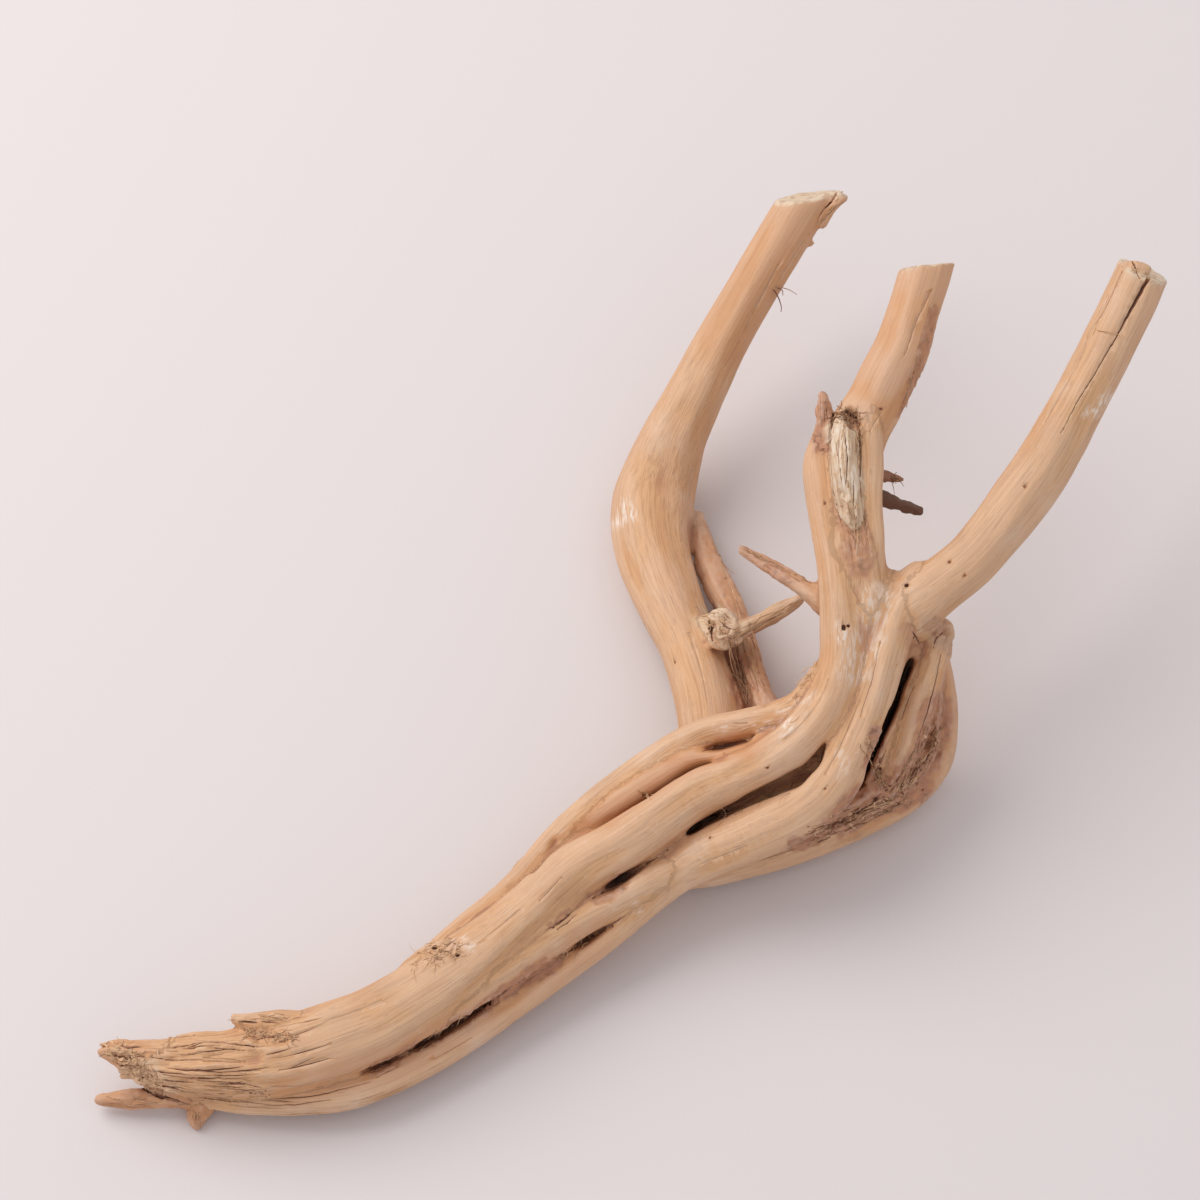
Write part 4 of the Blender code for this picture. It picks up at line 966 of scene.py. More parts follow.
def fuse(target, voxel):
    """Rebuilds the target as one skin over everything that overlaps in it."""
    remesh = target.modifiers.new("fuse", "REMESH")
    remesh.mode = "VOXEL"
    remesh.voxel_size = voxel * MM
    remesh.adaptivity = 0.0
    apply_modifiers(target)


def carve(target, cutters):
    """Takes a collection's shapes out of the target, and the collection out of the file."""
    modifier = target.modifiers.new("carve", "BOOLEAN")
    modifier.operand_type = "COLLECTION"
    modifier.collection = cutters
    modifier.operation = "DIFFERENCE"
    modifier.solver = "MANIFOLD"
    apply_modifiers(target)
    for cutter in list(cutters.objects):
        bpy.data.objects.remove(cutter)
    bpy.data.collections.remove(cutters)


class Surface:
    """Finds places on the surface of a piece."""

    def __init__(self, piece):
        self.tree = BVHTree.FromObject(piece, bpy.context.evaluated_depsgraph_get())

    def hit(self, start, direction):
        """The first place that a ray meets, the surface's normal there and the ray's length, or None."""
        place, normal, _, reach = self.tree.ray_cast(Vector(start) * MM, Vector(direction))
        return None if place is None else (np.array(place) / MM, np.array(normal), reach / MM)

    def seen_at(self, across, up):
        """What the eye meets at a point of the picture's plane."""
        return self.hit(EYE, sight(across, up))

    def depth_of(self, places):
        """How far each place lies from the surface."""
        return np.array([self.tree.find_nearest(Vector(place) * MM)[3] for place in places]) / MM


def resampled(points, step):
    """A polyline's rows at even steps of its first two columns."""
    points = np.asarray(points, float)
    reach = np.append(0.0, np.cumsum(np.linalg.norm(np.diff(points[:, :2], axis=0), axis=1)))
    at = np.linspace(0, reach[-1], max(3, round(reach[-1] / step) + 1))
    return np.stack([np.interp(at, reach, column) for column in points.T], axis=1)


def add_furrow(mesh, met, widths, depth):
    """A wedge that opens a crack in the surface, through the places and normals that rays met."""
    places = np.array([place for place, _, _ in met])
    widths = np.asarray(widths, float)
    depths = depth * np.sqrt(widths / widths.max())
    heading = np.gradient(places, axis=0)
    rings = []
    for place, (_, normal, _), ahead, width, deep in zip(places, met, heading, widths, depths):
        side = unit(np.cross(normal, ahead)) * width * (deep + FURROW_RISE) / deep
        rim = place + normal * FURROW_RISE
        rings.append(np.array((rim + side, place - normal * deep, rim - side)))
    add_rings(mesh, rings)


def seen_furrow(surface, points, chance):
    """What the eye meets along the longest unbroken run of a crack, and the half widths there."""
    runs = [([], [])]
    for *at, width in resampled(points, FURROW_STEP):
        found = surface.seen_at(*(np.array(at) + chance.uniform(-FURROW_WANDER, FURROW_WANDER, 2)))
        if found is None:
            continue
        met, widths = runs[-1]
        if met and np.linalg.norm(found[0] - met[-1][0]) > FURROW_JUMP:
            runs.append(([found], [width]))
        else:
            met.append(found)
            widths.append(width)
    return max(runs, key=lambda run: len(run[0]))


def seeded_furrow(surface, name, span, length, half_width, chance):
    """What rays cast at a strand meet along a crack that follows its grain, and the half widths."""
    length = length * chance.uniform(0.4, 1.3)
    count = max(FEWEST_MET, round(length / FURROW_STEP))
    centres, outward, radii = walk_strand(
        name, chance.uniform(*span), length, chance.uniform(0, math.tau), chance.uniform(-0.1, 0.1), count,
    )
    met = []
    for centre, direction, radius in zip(centres, outward, radii):
        found = surface.hit(centre + direction * (radius + CAST_FROM), -direction)
        if found is None or found[2] > CAST_REACH:
            break
        if met and np.linalg.norm(found[0] - met[-1][0]) < 0.1:
            break
        met.append(found)
    shares = np.linspace(0, 1, len(met)) if met else np.zeros(0)
    widths = half_width * chance.uniform(0.5, 1.4) * (0.2 + np.sin(shares * math.pi))
    return met, widths * chance.uniform(0.7, 1.2, len(met))


def add_pit(mesh, met, radius, depth, chance):
    """An uneven pebble that cuts a borer's hole or a small knot's hollow."""
    place, normal, _ = met
    turned = Vector(UP).rotation_difference(Vector(normal)).to_matrix()
    made = bmesh.ops.create_icosphere(mesh, subdivisions=2, radius=1.0)["verts"]
    stretch = (radius * chance.uniform(0.8, 1.1), radius * chance.uniform(0.8, 1.1), depth)
    for corner in made:
        corner.co = Vector(a * b * MM for a, b in zip(corner.co, stretch)) * chance.uniform(0.85, 1.1)
        corner.co = turned @ corner.co + Vector(place) * MM


def open_cracks(skin, surface):
    """Cuts the drying cracks, torn furrows and small holes into the skin."""
    chance = np.random.default_rng(SEED)
    cutters = bpy.data.collections.new("cracks")
    bpy.context.scene.collection.children.link(cutters)
    lines = [(*seen_furrow(surface, points, chance), depth) for depth, points in CRACKS.values()]
    for name, span, count, length, half_width, depth in CHECKED:
        for _ in range(count):
            lines.append((*seeded_furrow(surface, name, span, length, half_width, chance), depth))
    for index, (met, widths, depth) in enumerate(lines):
        if len(met) >= FEWEST_MET:
            object_from(f"crack_{index}", lambda mesh: add_furrow(mesh, met, widths, depth), cutters)
    for index, (across, up, radius, depth) in enumerate(PITS):
        met = surface.seen_at(across, up)
        if met:
            object_from(f"pit_{index}", lambda mesh: add_pit(mesh, met, radius, depth, chance), cutters)
    carve(skin, cutters)


def mesh_arrays(data):
    """A mesh's places and normals, in millimetres, and its edges."""
    places = np.empty(len(data.vertices) * 3, np.float32)
    data.vertices.foreach_get("co", places)
    normals = np.empty_like(places)
    data.vertices.foreach_get("normal", normals)
    edges = np.empty(len(data.edges) * 2, np.int32)
    data.edges.foreach_get("vertices", edges)
    return places.reshape(-1, 3) / MM, normals.reshape(-1, 3), edges.reshape(-1, 2)


def set_places(data, places):
    """Moves a mesh's vertices to places in millimetres."""
    data.vertices.foreach_set("co", (places * MM).astype(np.float32).ravel())
    data.update()


class Neighbours:
    """Averages over each vertex's neighbours on a mesh."""

    def __init__(self, edges, count):
        self.count = count
        self.ends = np.concatenate([edges[:, 0], edges[:, 1]])
        self.others = np.concatenate([edges[:, 1], edges[:, 0]])
        self.share = 1.0 / np.maximum(1, np.bincount(self.ends, minlength=count))

    def mean(self, values):
        """The mean of each vertex's neighbours, in every column of the values."""
        columns = values.reshape(self.count, -1).T
        summed = [
            np.bincount(self.ends, weights=column[self.others], minlength=self.count) * self.share
            for column in columns
        ]
        return np.stack(summed, axis=1).reshape(values.shape)


def lattice(cells, seed):
    """A fixed value between 0 and 1 for each cell, mixed from its whole numbers with large primes."""
    cells = cells.astype(np.int64)
    mixed = cells[:, 0] * 73856093 ^ cells[:, 1] * 19349663 ^ cells[:, 2] * 83492791 ^ seed * 2654435761
    mixed = (mixed ^ (mixed >> 13)) * 1274126177 & 0x7FFFFFFF
    mixed = (mixed ^ (mixed >> 15)) * 83492791 & 0x7FFFFFFF
    return (mixed & 0xFFFFF) / 0xFFFFF


def soft_noise(points, seed):
    """Smooth noise between -1 and 1 at points whose cells are 1 wide."""
    base = np.floor(points)
    share = points - base
    share = share * share * (3.0 - 2.0 * share)
    total = np.zeros(len(points))
    for corner in np.ndindex(2, 2, 2):
        weight = np.prod(np.where(corner, share, 1.0 - share), axis=1)
        total += weight * lattice(base + corner, seed)
    return total * 2.0 - 1.0


def noise(name, points):
    """The named noise at points whose cells are 1 wide."""
    return soft_noise(points, NOISE_SEEDS[name])


def ridged(name, points):
    """The named noise with sharp valleys: 0 along thin lines, and up to 1 between them."""
    return np.abs(noise(name, points))


def wandering(name, points):
    """A shift in the picture's plane, up to 1 each way, by the named pair of noises."""
    return np.stack([soft_noise(points, seed) for seed in NOISE_SEEDS[name]], axis=1)


class Survey:
    """Where each place of the skin lies on the strands.

    `strand` is the number of the strand that it belongs to, `grain` its two distances across that
    strand and its distance along it, `inside` how deep it lies under the strands' own surfaces, and
    `seen` its place in the picture's plane.
    """

    def __init__(self, places):
        count = len(places)
        self.inside = np.full(count, -np.inf)
        self.strand = np.zeros(count, int)
        self.grain = np.zeros((count, 3))
        self.seen = to_picture(places)
        for index, name in enumerate(STRANDS):
            line, radii = LINES[name]
            ahead, sides, overs = carried_frames(line, UP)
            reach = np.append(0.0, np.cumsum(np.linalg.norm(np.diff(line, axis=0), axis=1)))
            margin = radii.max() + SURVEY_MARGIN
            near = np.flatnonzero(
                ((places > line.min(axis=0) - margin) & (places < line.max(axis=0) + margin)).all(axis=1)
            )
            for part in np.array_split(near, len(near) // SURVEY_BATCH + 1):
                if not len(part):
                    continue
                offsets = places[part]
                apart = (
                    (offsets ** 2).sum(axis=1)[:, None] - 2 * offsets @ line.T + (line ** 2).sum(axis=1)
                )
                step = apart.argmin(axis=1)
                offsets = offsets - line[step]
                along = (offsets * ahead[step]).sum(axis=1)
                across = (offsets * sides[step]).sum(axis=1)
                over = (offsets * overs[step]).sum(axis=1)
                past = np.where((step == 0) | (step == len(line) - 1), along, 0.0)
                inside = radii[step] - np.sqrt(across ** 2 + over ** 2 + past ** 2)
                better = inside > self.inside[part]
                chosen = part[better]
                self.inside[chosen] = inside[better]
                self.strand[chosen] = index
                self.grain[chosen] = np.stack([across, over, reach[step] + along], axis=1)[better]

    def per_strand(self, values, default):
        """One value for each place, read by its strand's name."""
        table = np.array([values.get(name, default) for name in STRANDS], float)
        return table[self.strand]

    def finish(self, name):
        """How strongly each place's strand shows a finish of its own."""
        return self.per_strand({key: value.get(name, 0.0) for key, value in STRAND_FINISH.items()}, 0.0)


def stroke_cover(seen, strokes, full=0.7):
    """How strongly a list of strokes covers each place of the picture's plane, from 0 to 1.

    The cover is whole out to the share `full` of a stroke's half width, and gone at 1.3 times it.
    """
    cover = np.zeros(len(seen))
    for points, half_width, strength in strokes:
        points = np.array(points, float)
        apart = np.full(len(seen), np.inf)
        for start, end in zip(points, points[1:]):
            along = end - start
            share = np.clip(((seen - start) @ along) / (along @ along), 0.0, 1.0)
            apart = np.minimum(apart, np.linalg.norm(seen - start - share[:, None] * along, axis=1))
        cover = np.maximum(cover, strength * smooth_step(1.3, full, apart / half_width))
    return cover


def weathering_of(survey):
    """How far the grain is opened at each place."""
    weathering = survey.per_strand(WEATHERING, 1.0)
    trunk = survey.per_strand({"trunk_ridge": 1, "front_root": 1, "belly": 1}, 0.0)
    torn = smooth_step(TORN_FROM, TORN_TO, survey.seen[:, 0]) * trunk
    return weathering + (TORN_WEATHERING - 1.0) * torn


def on_saw_cuts(places, normals):
    """How far each place lies on the flat of a saw cut, from 0 to 1."""
    cover = np.zeros(len(places))
    for point, facing in SAW_CUTS.values():
        offset = places - from_picture([point])[0][0]
        facing = unit(np.array(facing))
        flat = smooth_step(0.9, 0.5, np.abs(offset @ facing)) * smooth_step(0.3, 0.7, normals @ facing)
        cover = np.maximum(cover, flat * (np.linalg.norm(offset, axis=1) < SAW_REACH))
    return cover


def scoop_depth(seen, places):
    """How deep the wood has split away at each place of the picture's plane."""
    shift = 1.1 * wandering("scoop_edge", places / SCOOP_PITCH)
    depth = np.zeros(len(seen))
    for points, half_width, deep in SCOOPS:
        cover = stroke_cover(seen + shift, ((points, half_width * 0.8, 1.0),), 0.1)
        depth = np.maximum(depth, deep * cover)
    return depth


def finishes_of(survey, places, normals):
    """The cover of each finish at each place, with edges broken up by noise."""
    wander = 1.1 * wandering("edge", places / EDGE_PITCHES[0])
    wander += 0.5 * wandering("fine_edge", places / EDGE_PITCHES[1])
    facing = smooth_step(-0.25, 0.15, normals @ TOWARD)
    found = {}
    for name, strokes in STROKES.items():
        found[name] = stroke_cover(survey.seen + wander, strokes) * facing
    for name in ("bark", "grey", "ochre"):
        own = survey.finish(name)
        partly = (own > 0) * (own < 0.95)
        patchy = np.clip(own + 0.35 * noise("patches", places / PATCH_PITCH) * partly, 0, 1)
        found[name] = np.maximum(found[name], patchy)
    return found


def grain_of(survey):
    """Each place's distances across and along its strand, with every strand's patterns its own."""
    return survey.grain + survey.strand[:, None] * STRAND_OFFSET


def relief_of(survey, places, normals, relief):
    """How far each place of the skin moves out along its normal, in millimetres."""
    grain = grain_of(survey)

    def cells(wide, long):
        """The grain's places in cells of this width across it and this length along it."""
        return grain * np.array((1 / wide, 1 / wide, 1 / long))

    ridges = noise("ridges", cells(*RIDGE_CELL))
    furrows = ridged("furrows", cells(*FURROW_CELL)) - 0.3
    weathering = weathering_of(survey)
    move = relief * weathering * (0.7 * ridges + 1.8 * furrows)
    torn = smooth_step(1.9, 3.4, weathering)
    move += torn * SPLIT_HEIGHT * (ridged("splits", cells(*SPLIT_CELL)) - 0.35)
    for name, height, pitch in zip(("lumps", "small_lumps"), LUMP_HEIGHTS, LUMP_PITCHES):
        move += height * noise(name, places / pitch)
    sway = 2.2 * noise("ring_sway", places / PATCH_PITCH)
    rings = np.sin(survey.grain[:, 2] * math.tau / RING_PITCH + sway)
    move += RING_HEIGHT * stroke_cover(survey.seen, RINGED) * rings
    finishes = finishes_of(survey, places, normals)
    strips = BARK_HEIGHTS[0] * (ridged("bark_strips", cells(*BARK_CELL)) - 0.4)
    grains = BARK_HEIGHTS[1] * noise("bark_grains", places / BARK_GRAIN_PITCH)
    move += finishes["bark"] * (strips + grains)
    facing = smooth_step(0.0, 0.3, normals @ TOWARD)
    move -= facing * scoop_depth(survey.seen, places)
    flat = on_saw_cuts(places, normals)
    return move * (1.0 - flat) + flat * SAWN_HEIGHT * noise("sawn", places / SAWN_PITCH)


def grown_skin(voxel):
    """The strands run together, with the clefts and saw cuts opened, before any relief."""
    def fill(mesh):
        for index, points in enumerate(STRANDS.values()):
            add_strand(mesh, points, index)

    skin = object_from("driftwood_skin", fill)
    fuse(skin, voxel)
    cutters = bpy.data.collections.new("cutters")
    bpy.context.scene.collection.children.link(cutters)
    for name, (half_depth, points) in CLEFTS.items():
        object_from(name, lambda mesh: add_cleft(mesh, half_depth, points), cutters)
    for name, (point, facing) in SAW_CUTS.items():
        object_from(name, lambda mesh: add_saw_cut(mesh, point, facing), cutters)
    carve(skin, cutters)
    add_torn_wood(skin)
    fuse(skin, voxel)
    return skin


def add_torn_wood(skin):
    """Adds the shards and slivers to the skin, as bodies of their own until it is fused."""
    chance = np.random.default_rng(SEED)
    mesh = bmesh.new()
    mesh.from_mesh(skin.data)
    for index, points in enumerate(SHARDS.values()):
        add_strand(mesh, points, index)
    for name, span, count, length, half_width, lift in SLIVERS:
        for _ in range(count):
            add_sliver(mesh, name, span, length, half_width, lift, chance)
    mesh.to_mesh(skin.data)
    mesh.free()


def near_detail(survey):
    """The places whose relief is too fine for the skin's own spacing."""
    barky = stroke_cover(survey.seen, STROKES["bark"]) > FINE_BARK
    return (weathering_of(survey) > FINE_WEATHERING) | barky


def refine(data, chosen):
    """Halves the mesh's spacing where vertices are chosen."""
    mesh = bmesh.new()
    mesh.from_mesh(data)
    edges = [edge for edge in mesh.edges if all(chosen[end.index] for end in edge.verts)]
    bmesh.ops.subdivide_edges(mesh, edges=edges, cuts=1, use_grid_fill=True)
    mesh.to_mesh(data)
    mesh.free()


def eased(places, neighbours, rounds):
    """Places smoothed without shrinking, by alternate steps in and out."""
    for _ in range(rounds):
        places = places + 0.5 * (neighbours.mean(places) - places)
        places = places - 0.52 * (neighbours.mean(places) - places)
    return places


def ease_surface(data, voxel):
    """Rounds the lips of the clefts and lets the creases between strands fill a little."""
    places, normals, edges = mesh_arrays(data)
    neighbours = Neighbours(edges, len(places))
    rounds = round(EASE_REACH / voxel)
    places = eased(places, neighbours, rounds)
    survey = Survey(places)
    lips = smooth_step(0.15, 0.7, survey.inside) * (1.0 - on_saw_cuts(places, normals))
    for _ in range(rounds):
        lips = np.maximum(lips, neighbours.mean(lips) * 0.97)
    lips = np.clip(lips, 0, 1)[:, None]
    for _ in range(rounds * 4):
        inward = neighbours.mean(places) - places
        rise = np.clip((inward * normals).sum(axis=1), 0.0, None)[:, None]
        places = places + 0.5 * lips * inward + 0.5 * (1 - lips) * rise * normals
    set_places(data, places)


def kept_in_box(places):
    """Places held above the table and inside the box of the wood's own solid."""
    return np.clip(places, BOX_LOW, BOX_HIGH)


def store(data, name, values):
    """Values, one or three for each vertex, as an attribute that materials read."""
    kind = "FLOAT_VECTOR" if values.ndim == 2 else "FLOAT"
    attribute = data.attributes.new(name, kind, "POINT")
    attribute.data.foreach_set("vector" if values.ndim == 2 else "value", values.astype(np.float32).ravel())


def dress(data, surface):
    """Stores where the grain runs, how much of each finish shows, and how much shade is painted into clefts,
    cracks and creases, for the materials.
    """
    places, normals, edges = mesh_arrays(data)
    survey = Survey(places)
    neighbours = Neighbours(edges, len(places))
    wide = places
    for _ in range(CAVITY_ROUNDS):
        wide = neighbours.mean(wide)
    cavity = ((wide - places) * normals).sum(axis=1)
    finishes = finishes_of(survey, places, normals)
    cut = on_saw_cuts(places, normals)
    # Painted shade: deep darkens each place by how far it lies inside a cleft or a crack, or by its strand's
    # own share.
    in_cleft = smooth_step(0.6, 4.5, survey.inside) * (1.0 - cut)
    in_crack = 0.8 * smooth_step(0.03, 0.5, surface.depth_of(places))
    deep = np.maximum(np.maximum(survey.finish("deep"), in_cleft), in_crack)
    store(data, "grain", grain_of(survey))
    store(data, "deep", deep)
    store(data, "cut", cut)
    store(data, "cavity", np.clip(cavity / CAVITY_DEPTH, -1.0, 1.0))
    for name, cover in finishes.items():
        store(data, name, cover)


def laid_on(surface, rows):
    """Places that follow the surface under rows of (across, up, lift), and bridge its hollows and edges."""
    sights = np.array([sight(across, up) for across, up, _ in rows])
    reach = []
    for direction in sights:
        met = surface.hit(EYE, direction)
        reach.append(np.nan if met is None else met[2])
    reach = np.array(reach)
    if np.isnan(reach).all():
        return None
    first = reach[~np.isnan(reach)][0]
    reach[np.abs(reach - first) > FIBRE_BRIDGE] = np.nan
    at = np.arange(len(reach))
    known = ~np.isnan(reach)
    reach = np.interp(at, at[known], reach[known])
    straight = np.linspace(reach[0], reach[-1], len(reach))
    reach = np.minimum(reach, straight) - np.array([lift for _, _, lift in rows])
    return EYE + sights * reach[:, None]


def tone_layer(mesh):
    """The layer that keeps how dark each corner is, from 0 to 1."""
    layers = mesh.verts.layers.float
    return layers.get("tone") or layers.new("tone")


def add_fibre(mesh, places, half_width, tone):
    """A thin tapering fibre. Its tone says how dark it is."""
    places = kept_in_box(places)
    if shortest_step(places) < 0.02:
        return
    layer = tone_layer(mesh)
    taper = np.linspace(1.0, FIBRE_TAPER, len(places))
    for corner in add_tube(mesh, places, half_width * taper, FIBRE_SIDES):
        corner[layer] = tone


def seeded_fibre(points, half_width, length, lift, turn, chance):
    """Rows of (across, up, lift) for one fibre that starts somewhere along a stroke."""
    rows = resampled(points, STROKE_STEP)
    index = chance.integers(0, len(rows) - 1)
    ahead = rows[min(index + 1, len(rows) - 1)] - rows[max(index - 1, 0)]
    side = np.array((-ahead[1], ahead[0])) / np.linalg.norm(ahead)
    at = rows[index] + side * half_width * np.clip(chance.normal(0, 0.5), -1, 1)
    heading = math.atan2(ahead[1], ahead[0]) + chance.uniform(-turn, turn)
    heading += math.pi * (chance.random() < 0.5)
    curl = chance.normal(0, 0.03 + 0.25 * turn)
    stride = length * chance.uniform(0.4, 1.3) / (FIBRE_PLACES - 1)
    lifts = lift * chance.uniform(0.3, 1.2) * np.linspace(0, 1, FIBRE_PLACES) ** 1.6 + 0.06
    fibre = []
    for height in lifts:
        fibre.append((*at, height))
        at = at + stride * np.array((math.cos(heading), math.sin(heading)))
        heading += curl + chance.normal(0, 0.05)
    return fibre


def ball():
    """The corners and faces of a small ball."""
    mesh = bmesh.new()
    bmesh.ops.create_icosphere(mesh, subdivisions=2, radius=1.0)
    corners = np.array([corner.co for corner in mesh.verts])
    faces = [[corner.index for corner in face.verts] for face in mesh.faces]
    mesh.free()
    return corners, faces


def add_crumb(mesh, shape, place, normal, radius, tone, chance):
    """A rough flat crumb, sunk a little into the surface."""
    layer = tone_layer(mesh)
    corners, faces = shape
    stretch = radius * chance.uniform(0.4, 1.2, 3) * CRUMB_SHAPE
    spin = chance.uniform(0, math.tau)
    across = unit(np.cross(normal, (math.cos(spin), math.sin(spin), 0.3)))
    axes = np.array((across, np.cross(normal, across), normal))
    rough = corners * stretch * chance.uniform(0.75, 1.15, (len(corners), 1))
    made = [mesh.verts.new(Vector(moved) * MM) for moved in kept_in_box(place + rough @ axes)]
    for corner in made:
        corner[layer] = tone
    for face in faces:
        mesh.faces.new([made[index] for index in face])


def add_node(tree, kind, inputs=None, **settings):
    """A node with its settings, and with each input set to a value or linked from a socket."""
    node = tree.nodes.new(kind)
    for name, value in settings.items():
        setattr(node, name, value)
    for name, value in (inputs or {}).items():
        if isinstance(value, bpy.types.NodeSocket):
            tree.links.new(value, node.inputs[name])
        else:
            node.inputs[name].default_value = value
    return node


def read(tree, name, output="Fac"):
    """One of the attributes that the skin carries."""
    return add_node(tree, "ShaderNodeAttribute", attribute_name=name).outputs[output]


def pattern(tree, coordinates, scale, seed, detail):
    """Noise in cells of the given size in millimetres: twice across the grain and along it, or x, y, z."""
    stretched = add_node(
        tree, "ShaderNodeVectorMath", {0: coordinates, 1: tuple(1 / size for size in scale)},
        operation="MULTIPLY",
    )
    inputs = {"Vector": stretched.outputs[0], "W": seed, "Scale": 1.0, "Detail": detail}
    return add_node(tree, "ShaderNodeTexNoise", inputs, noise_dimensions="4D").outputs["Fac"]


def ramp(tree, value, low, high, start=0.0, end=1.0):
    """The value's range from low to high spread over start to end."""
    return add_node(
        tree, "ShaderNodeMapRange",
        {"Value": value, "From Min": low, "From Max": high, "To Min": start, "To Max": end},
        interpolation_type="SMOOTHSTEP",
    ).outputs[0]


def times(tree, first, second):
    """One value times another."""
    return add_node(tree, "ShaderNodeMath", {0: first, 1: second}, operation="MULTIPLY").outputs[0]


def laid_over(tree, base, colour, cover):
    """A colour, a socket or three numbers, mixed over another by a cover of 0 to 1."""
    base, colour = (
        each if isinstance(each, bpy.types.NodeSocket) else (*each, 1.0) for each in (base, colour)
    )
    return add_node(
        tree, "ShaderNodeMix", {0: cover, 6: base, 7: colour}, data_type="RGBA", blend_type="MIX",
    ).outputs[2]


def spread_over(tree, base, colour, values, low, high, strength):
    """A colour mixed over another where the values run from low to high, at most this strongly."""
    return laid_over(tree, base, colour, times(tree, ramp(tree, values, low, high), strength))


def weathered_driftwood(settings):
    """Driftwood: root wood stripped of its bark by water, sun-bleached and rubbed to a satin tan.

    The eye sees fine lines along the grain, a few broader bands, dark clefts and cracks whose dark is
    painted shade, reddish inner bark where it still clings, and grey where the wood was torn. Creases
    carry painted shade and ridges a faint painted highlight. The finest lines and flecks are wider than
    the real wood's pores, so that they show.
    """
    material = bpy.data.materials.new("weathered_driftwood")
    material.use_nodes = True
    tree = material.node_tree
    surface = tree.nodes["Principled BSDF"]
    grain = read(tree, "grain", "Vector")
    metres = add_node(tree, "ShaderNodeNewGeometry").outputs["Position"]
    place = add_node(
        tree, "ShaderNodeVectorMath", {0: metres, "Scale": 1 / MM}, operation="SCALE",
    ).outputs[0]

    fine = pattern(tree, grain, (GRAIN_PITCH, GRAIN_PITCH, 18.0), 1.0, 3.0)
    lines = pattern(tree, grain, (GRAIN_PITCH * 0.6, GRAIN_PITCH * 0.6, 10.0), 2.0, 2.0)
    bands = pattern(tree, grain, (2.6, 2.6, 40.0), 3.0, 3.0)
    blotch = pattern(tree, place, (14.0, 14.0, 14.0), 4.0, 3.0)
    flecks = pattern(tree, grain, (0.5, 0.5, 3.0), 5.0, 1.0)
    mottle = pattern(tree, place, (1.6, 1.6, 1.6), 6.0, 3.0)
    rubbed = pattern(tree, grain, (0.6, 0.6, 2.2), 7.0, 3.0)
    dust = pattern(tree, place, (0.9, 0.9, 0.9), 8.0, 2.0)

    colour = spread_over(tree, settings.bare, settings.line, fine, 0.48, 0.6, 0.32)
    colour = spread_over(tree, colour, settings.line, lines, 0.54, 0.62, 0.34)
    colour = spread_over(tree, colour, settings.warm, bands, 0.45, 0.75, 0.3)
    colour = spread_over(tree, colour, settings.scuff_and_highlight, blotch, 0.5, 0.8, 0.22)
    colour = spread_over(tree, colour, settings.line, blotch, 0.48, 0.25, 0.25)
    colour = spread_over(tree, colour, settings.shade_and_dark_fleck, flecks, 0.66, 0.72, 0.17)
    colour = spread_over(tree, colour, settings.scuff_and_highlight, dust, 0.6, 0.72, 0.1)

    colour = laid_over(tree, colour, settings.warm, times(tree, read(tree, "ochre"), 0.8))
    bark = spread_over(tree, settings.bark, settings.warm, mottle, 0.5, 0.7, 0.6)
    bark = spread_over(tree, bark, settings.shade_and_dark_fleck, mottle, 0.44, 0.3, 0.5)
    colour = laid_over(tree, colour, bark, times(tree, read(tree, "bark"), 0.9))
    grey = spread_over(tree, settings.grey, settings.line, lines, 0.45, 0.65, 0.6)
    colour = laid_over(tree, colour, grey, times(tree, read(tree, "grey"), 0.9))
    # Rubbed spots, with the painted highlight over the fork's web.
    scuffed_and_highlit = times(tree, read(tree, "scuff_and_highlight"), ramp(tree, rubbed, 0.42, 0.62))
    colour = laid_over(tree, colour, settings.scuff_and_highlight, times(tree, scuffed_and_highlit, 0.85))
    end_grain = spread_over(tree, settings.grey, settings.line, mottle, 0.45, 0.65, 0.7)
    colour = laid_over(tree, colour, end_grain, read(tree, "cut"))

    # Painted shade: creases and hollows darken towards bark brown. Painted highlight: ridges and edges
    # lighten towards the pale scuff colour.
    cavity = read(tree, "cavity")
    colour = spread_over(tree, colour, settings.bark, cavity, 0.15, 0.9, 0.6)
    colour = spread_over(tree, colour, settings.scuff_and_highlight, cavity, -0.2, -0.9, 0.12)
    # Painted shade: clefts and cracks turn bark brown where shallow and near-black where deep.
    deep = read(tree, "deep")
    colour = laid_over(tree, colour, settings.bark, ramp(tree, deep, 0.0, 0.3))
    colour = laid_over(tree, colour, settings.shade_and_dark_fleck, ramp(tree, deep, 0.25, 1.2))
    tree.links.new(colour, surface.inputs["Base Color"])

    rough = ramp(tree, fine, 0.3, 0.7, settings.roughness - 0.05, settings.roughness + 0.12)
    tree.links.new(rough, surface.inputs["Roughness"])
    height = add_node(tree, "ShaderNodeMath", {0: fine, 1: lines}, operation="ADD").outputs[0]
    bump = add_node(
        tree, "ShaderNodeBump", {"Strength": 0.8, "Distance": 0.12 * MM, "Height": height}, invert=True,
    )
    tree.links.new(bump.outputs[0], surface.inputs["Normal"])
    return material


def toned_material(name, pale, dark, roughness):
    """A matte material that runs from a pale to a dark colour with each fibre's or crumb's tone."""
    material = bpy.data.materials.new(name)
    material.use_nodes = True
    tree = material.node_tree
    surface = tree.nodes["Principled BSDF"]
    colour = laid_over(tree, pale, dark, read(tree, "tone"))
    tree.links.new(colour, surface.inputs["Base Color"])
    surface.inputs["Roughness"].default_value = roughness
    return material


def dry_root_fibre(settings):
    """Root and torn wood fibre, dried stiff and dull: straw where it is fresh, dark brown where it is old."""
    return toned_material("dry_root_fibre", settings.straw, settings.umber, 0.75)


def flaked_inner_bark(settings):
    """Inner bark and rotten wood rubbed to crumbs: dull, from dusty tan to red-brown."""
    return toned_material("flaked_inner_bark", settings.crumb, settings.umber, 0.85)


